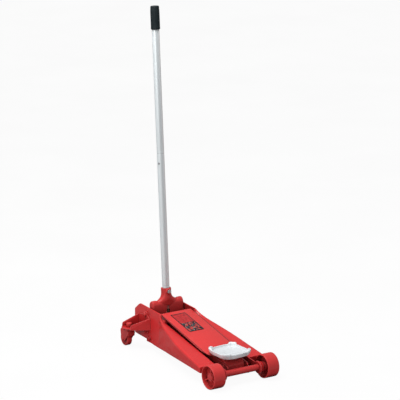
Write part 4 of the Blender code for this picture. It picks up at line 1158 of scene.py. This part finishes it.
# ---- handle ----
ROLLER_ANGLE = 180 - PUMP_SWING / 2 - HANDLE_LEAN
ARM_END = (PUMP_ARM * cos(radians(ROLLER_ANGLE)), PUMP_ARM * sin(radians(ROLLER_ANGLE)))
BUTTON_WAY = Vector((cos(radians(-64)), sin(radians(-64)), 0))


def handle_socket():
    """The cross-shaped casting: a neck that flares into two round shoulders, and two cheeks."""
    sections = []
    for height, half_x, half_y in ((28, 17, 60), (36, 18, 60), (42, 19, 55), (47, 20, 46), (51, 20.6, 38.5),
                                   (56, 21.2, 31.5), (63, 21.5, 25.5), (71, 21.5, 22.6), (80, 21.6, 21.6),
                                   (SOCKET_TOP - 1.2, 21.9, 21.9), (SOCKET_TOP, 21.2, 21.2)):
        angles = [2 * pi * (i + 0.5) / 64 for i in range(64)]
        sections.append([(half_x * cos(angle), half_y * sin(angle), height) for angle in angles])
    neck = lofted(sections)
    bridge = upright([*arc((-1, 31), 17, 0, 180, 24), (-18, 14), (16, 14)], -76.5, 76.5, 10)
    web = brick(10.8, 16, -75.5, 75.5, -14, 33, 1.8)
    cheeks = []
    for side in (1, -1):
        outline = [*arc((-1, 0), 17.2, 180, 360, 18), (16.2, 34), *arc((-1, 34), 16, 20, 160, 10),
                   (-18.2, 34)]
        cheeks.append(upright(rounded(outline, 1, 2), *sorted((side * 48.0, side * 76.5)), 6))
    pad = rod(12, (8, 0, CLAMP_HEIGHT), (24.5, 0, CLAMP_HEIGHT), 64, 2)
    tang_corners = [(-10, 40), (-10, 16), (ARM_END[0] + 6, ARM_END[1] - 5), *arc(ARM_END, 7, 260, 120, 8)]
    tang = upright(rounded(tang_corners, 1.5, 2), PUMP_Y + 9, PUMP_Y + 16, 1.2)
    body = cast(joined(neck, bridge, web, *cheeks, pad, tang), 1.1, 9)
    # The front slot goes through below, and is a blind recess above.
    slot = brick(8, 30, -9, 7, -30, 9, 1.5), brick(13.2, 30, -9, 7, 0, 24, 1.5)
    return cut(body, rod(15.8, (0, 0, 34), (0, 0, SOCKET_TOP + 5), 96, 0),
               rod(13.3, (0, 0, -5), (0, 0, 40), 72, 0), cross_rod(SOCKET_BORE, (0, 0), -90, 90, 48, 0),
               rod(4.3, (10, 0, CLAMP_HEIGHT), (30, 0, CLAMP_HEIGHT), 32, 0),
               cross_rod(4.3, ARM_END, 20, 50, 32, 0), brick(24.4, 40, -20, 20, 60, 110),
               brick(-30, 12, PUMP_Y + 2, PUMP_Y + 8.8, -40, 12, 0.2), *slot)


def button_rod(radius, start, end, edge=0):
    """A rod along the snap button's way, from start to end off the tube's middle."""
    height = Vector((0, 0, HANDLE_JOINT - BUTTON_DROP))
    return rod(radius, height + BUTTON_WAY * start, height + BUTTON_WAY * end, 48, edge)


def lower_tube():
    top = HANDLE_JOINT - GAP
    profile = [(13, 37), (15.5, 37), (15.5, SOCKET_TOP + 7.6), (14.2, SOCKET_TOP + 8.2),
               (14.2, SOCKET_TOP + 10.8), (15.5, SOCKET_TOP + 11.4), (15.5, top - 3), (15.1, top),
               (13, top)]
    return cut(turned(profile, 96, 0.3), button_rod(4.3, 10, 20))


def upper_tube():
    low = HANDLE_JOINT + GAP
    profile = [(10.4, HANDLE_JOINT - 70), (12.6, HANDLE_JOINT - 70), (12.6, low), (15.1, low),
               (15.5, low + 2.6), (15.5, low + 9), (15.2, low + 9.8), (15.2, low + 11.2),
               (15.5, low + 12), (15.5, HANDLE_TOP - 4), (10.4, HANDLE_TOP - 4)]
    return cut(turned(profile, 96, 0.3), button_rod(3.9, 8, 20))


def grip():
    """A dipped rubber grip with lengthwise flutes between two plain bands."""
    base = HANDLE_TOP - 98.0
    top = HANDLE_TOP
    steps = 144
    loops = []
    outer = [(15.9, base + 3), (16.2, base + 0.4), (17.2, base), (18.6, base + 0.6), (19.4, base + 2.4),
             (19.4, base + 9), (19.2, base + 11)]
    outer += [(19.3, base + 11 + (top - base - 27) * i / 8) for i in range(1, 8)]
    outer += [(19.0, top - 16), (18.4, top - 14.5), (18.3, top - 5), (17.6, top - 2),
              (15.8, top - 0.5), (12, top)]
    flutes, depth = 18, 0.45
    for radius, height in outer:
        flute = 1.0 if base + 10 < height < top - 15 else 0.0
        loop = []
        for i in range(steps):
            fluted = radius - flute * depth * (0.5 + 0.5 * cos(flutes * 2 * pi * i / steps))
            loop.append((fluted * cos(2 * pi * i / steps), fluted * sin(2 * pi * i / steps), height))
        loops.append(loop)
    loops += [circle(radius, height, steps)
              for radius, height in ((4, top), (4, top - 2), (15.9, top - 3.6))]
    mesh = bmesh.new()
    rings = [[mesh.verts.new(point) for point in loop] for loop in loops]
    for k, near in enumerate(rings):
        far = rings[(k + 1) % len(rings)]
        for i in range(steps):
            j = (i + 1) % steps
            mesh.faces.new((near[i], near[j], far[j], far[i]))
    return outward(mesh)


def handle_pieces():
    show("socket_casting", leaning(handle_socket()), CAST_PAINT, "handle_socket", ["handle_socket"],
         40)
    clamp = hex_bolt((24.5 + GAP, 0, CLAMP_HEIGHT), (1, 0, 0), 4, 7.4, 8.9, 6)
    show("clamp_screw", leaning(clamp), ZINC, "handle_socket", ["socket_bolt"])
    roller = along(turned([(4.3, -7), (7.6, -7), (8, -6.4), (8, 7.9), (7.6, 8.5), (4.3, 8.5)], 64, 0.4),
                   (ARM_END[0], PUMP_Y, ARM_END[1]), (0, 1, 0))
    show("press_roller", leaning(roller), TURNED_STEEL, "handle_socket", ["pump_roller"])
    show("press_pin", leaning(cross_rod(4, ARM_END, PUMP_Y - 10, PUMP_Y + 18, 40, 0.8)), TURNED_STEEL,
         "handle_socket", ["pump_roller_pin"])
    show("tube_low", leaning(lower_tube()), TUBE_SILVER, "handle", ["handle_tube_lower"])
    show("tube_high", leaning(upper_tube()), TUBE_SILVER, "handle", ["handle_tube_upper"])
    show("grip_sleeve", leaning(grip()), GRIP_RUBBER, "handle", ["handle_grip"])
    show("button_stud", leaning(button_rod(3.4, 6, 17.4, 1.6)), SPRING_STEEL, "snap_button",
         ["snap_button"])
    coupler = joined(universal_fork(20), rod(12.7, (0, 0, -46), (0, 0, -38), 48, 0.8))
    coupler.transform(Matrix.Rotation(pi, 4, "X") @ Matrix.Rotation(pi / 2, 4, "Z"))
    show("valve_coupler", leaning(coupler), SHADE_DARK_YELLOW_ZINC, "handle", ["release_coupler"])


# ---- floor, light and camera ----
def floor():
    """A floor that is white to the camera and a plain grey to bounced light."""
    paint = Shader("floor_paint")
    tone = paint.mixed(paint.spread(paint.noise(1.5, 3.0), 0.3, 0.7, 0.0, 1.0),
                       (0.985, 0.985, 0.985), (1.0, 1.0, 1.0))
    seen = paint.add("ShaderNodeLightPath")
    bounce = paint.mixed(seen.outputs["Is Camera Ray"], (0.42, 0.42, 0.42), tone)
    paint.set(Base_Color=bounce, Roughness=0.7)
    glow = paint.add("ShaderNodeEmission", Strength=1.0)
    paint.links.new(tone, glow.inputs["Color"])
    share = paint.spread(seen.outputs["Is Camera Ray"], 0.0, 1.0, 0.0, 0.95)
    blend = paint.add("ShaderNodeMixShader")
    paint.links.new(share, blend.inputs[0])
    paint.links.new(paint.base.outputs[0], blend.inputs[1])
    paint.links.new(glow.outputs[0], blend.inputs[2])
    paint.links.new(blend.outputs[0], paint.nodes["Material Output"].inputs["Surface"])
    mesh = bmesh.new()
    bmesh.ops.create_grid(mesh, x_segments=8, y_segments=8, size=40)
    obj = as_object("floor", mesh)
    obj.data.materials.append(paint.material)


def aimed(name, data, place, way):
    """A light or camera at place that looks along way."""
    obj = linked(name, data)
    obj.location = place
    obj.rotation_mode = "QUATERNION"
    obj.rotation_quaternion = way.to_track_quat("-Z", "Y")
    return obj


def area_light(name, place, size, power):
    """A white disc that looks at the jack."""
    data = bpy.data.lights.new(name, "AREA")
    data.shape = "DISK"
    data.size = size
    data.energy = power
    aimed(name, data, place, Vector((0, 0, 0.2)) - Vector(place))


def lights():
    world = bpy.data.worlds.new("studio")
    bpy.context.scene.world = world
    world.use_nodes = True
    background = world.node_tree.nodes["Background"]
    background.inputs["Color"].default_value = (1, 1, 1, 1)
    background.inputs["Strength"].default_value = 0.36
    area_light("key", (0.0, -0.7, 3.4), 2.4, 92)
    area_light("side", (1.4, -3.5, 1.7), 2.0, 33)


def camera():
    data = bpy.data.cameras.new("camera")
    data.sensor_width = 36.0
    data.lens = 184.0
    back = Vector((0.8151, -0.5240, 0.2470))
    place = (6.5066 + AXLE_X * MM, -4.3785, 2.7615)
    bpy.context.scene.camera = aimed("camera", data, place, -back)


frame_pieces()
wheel_pieces()
arm_pieces()
head_pieces()
hydraulic_pieces()
caster_pieces()
handle_pieces()
floor()
lights()
camera()
bpy.context.scene.view_settings.view_transform = "Standard"
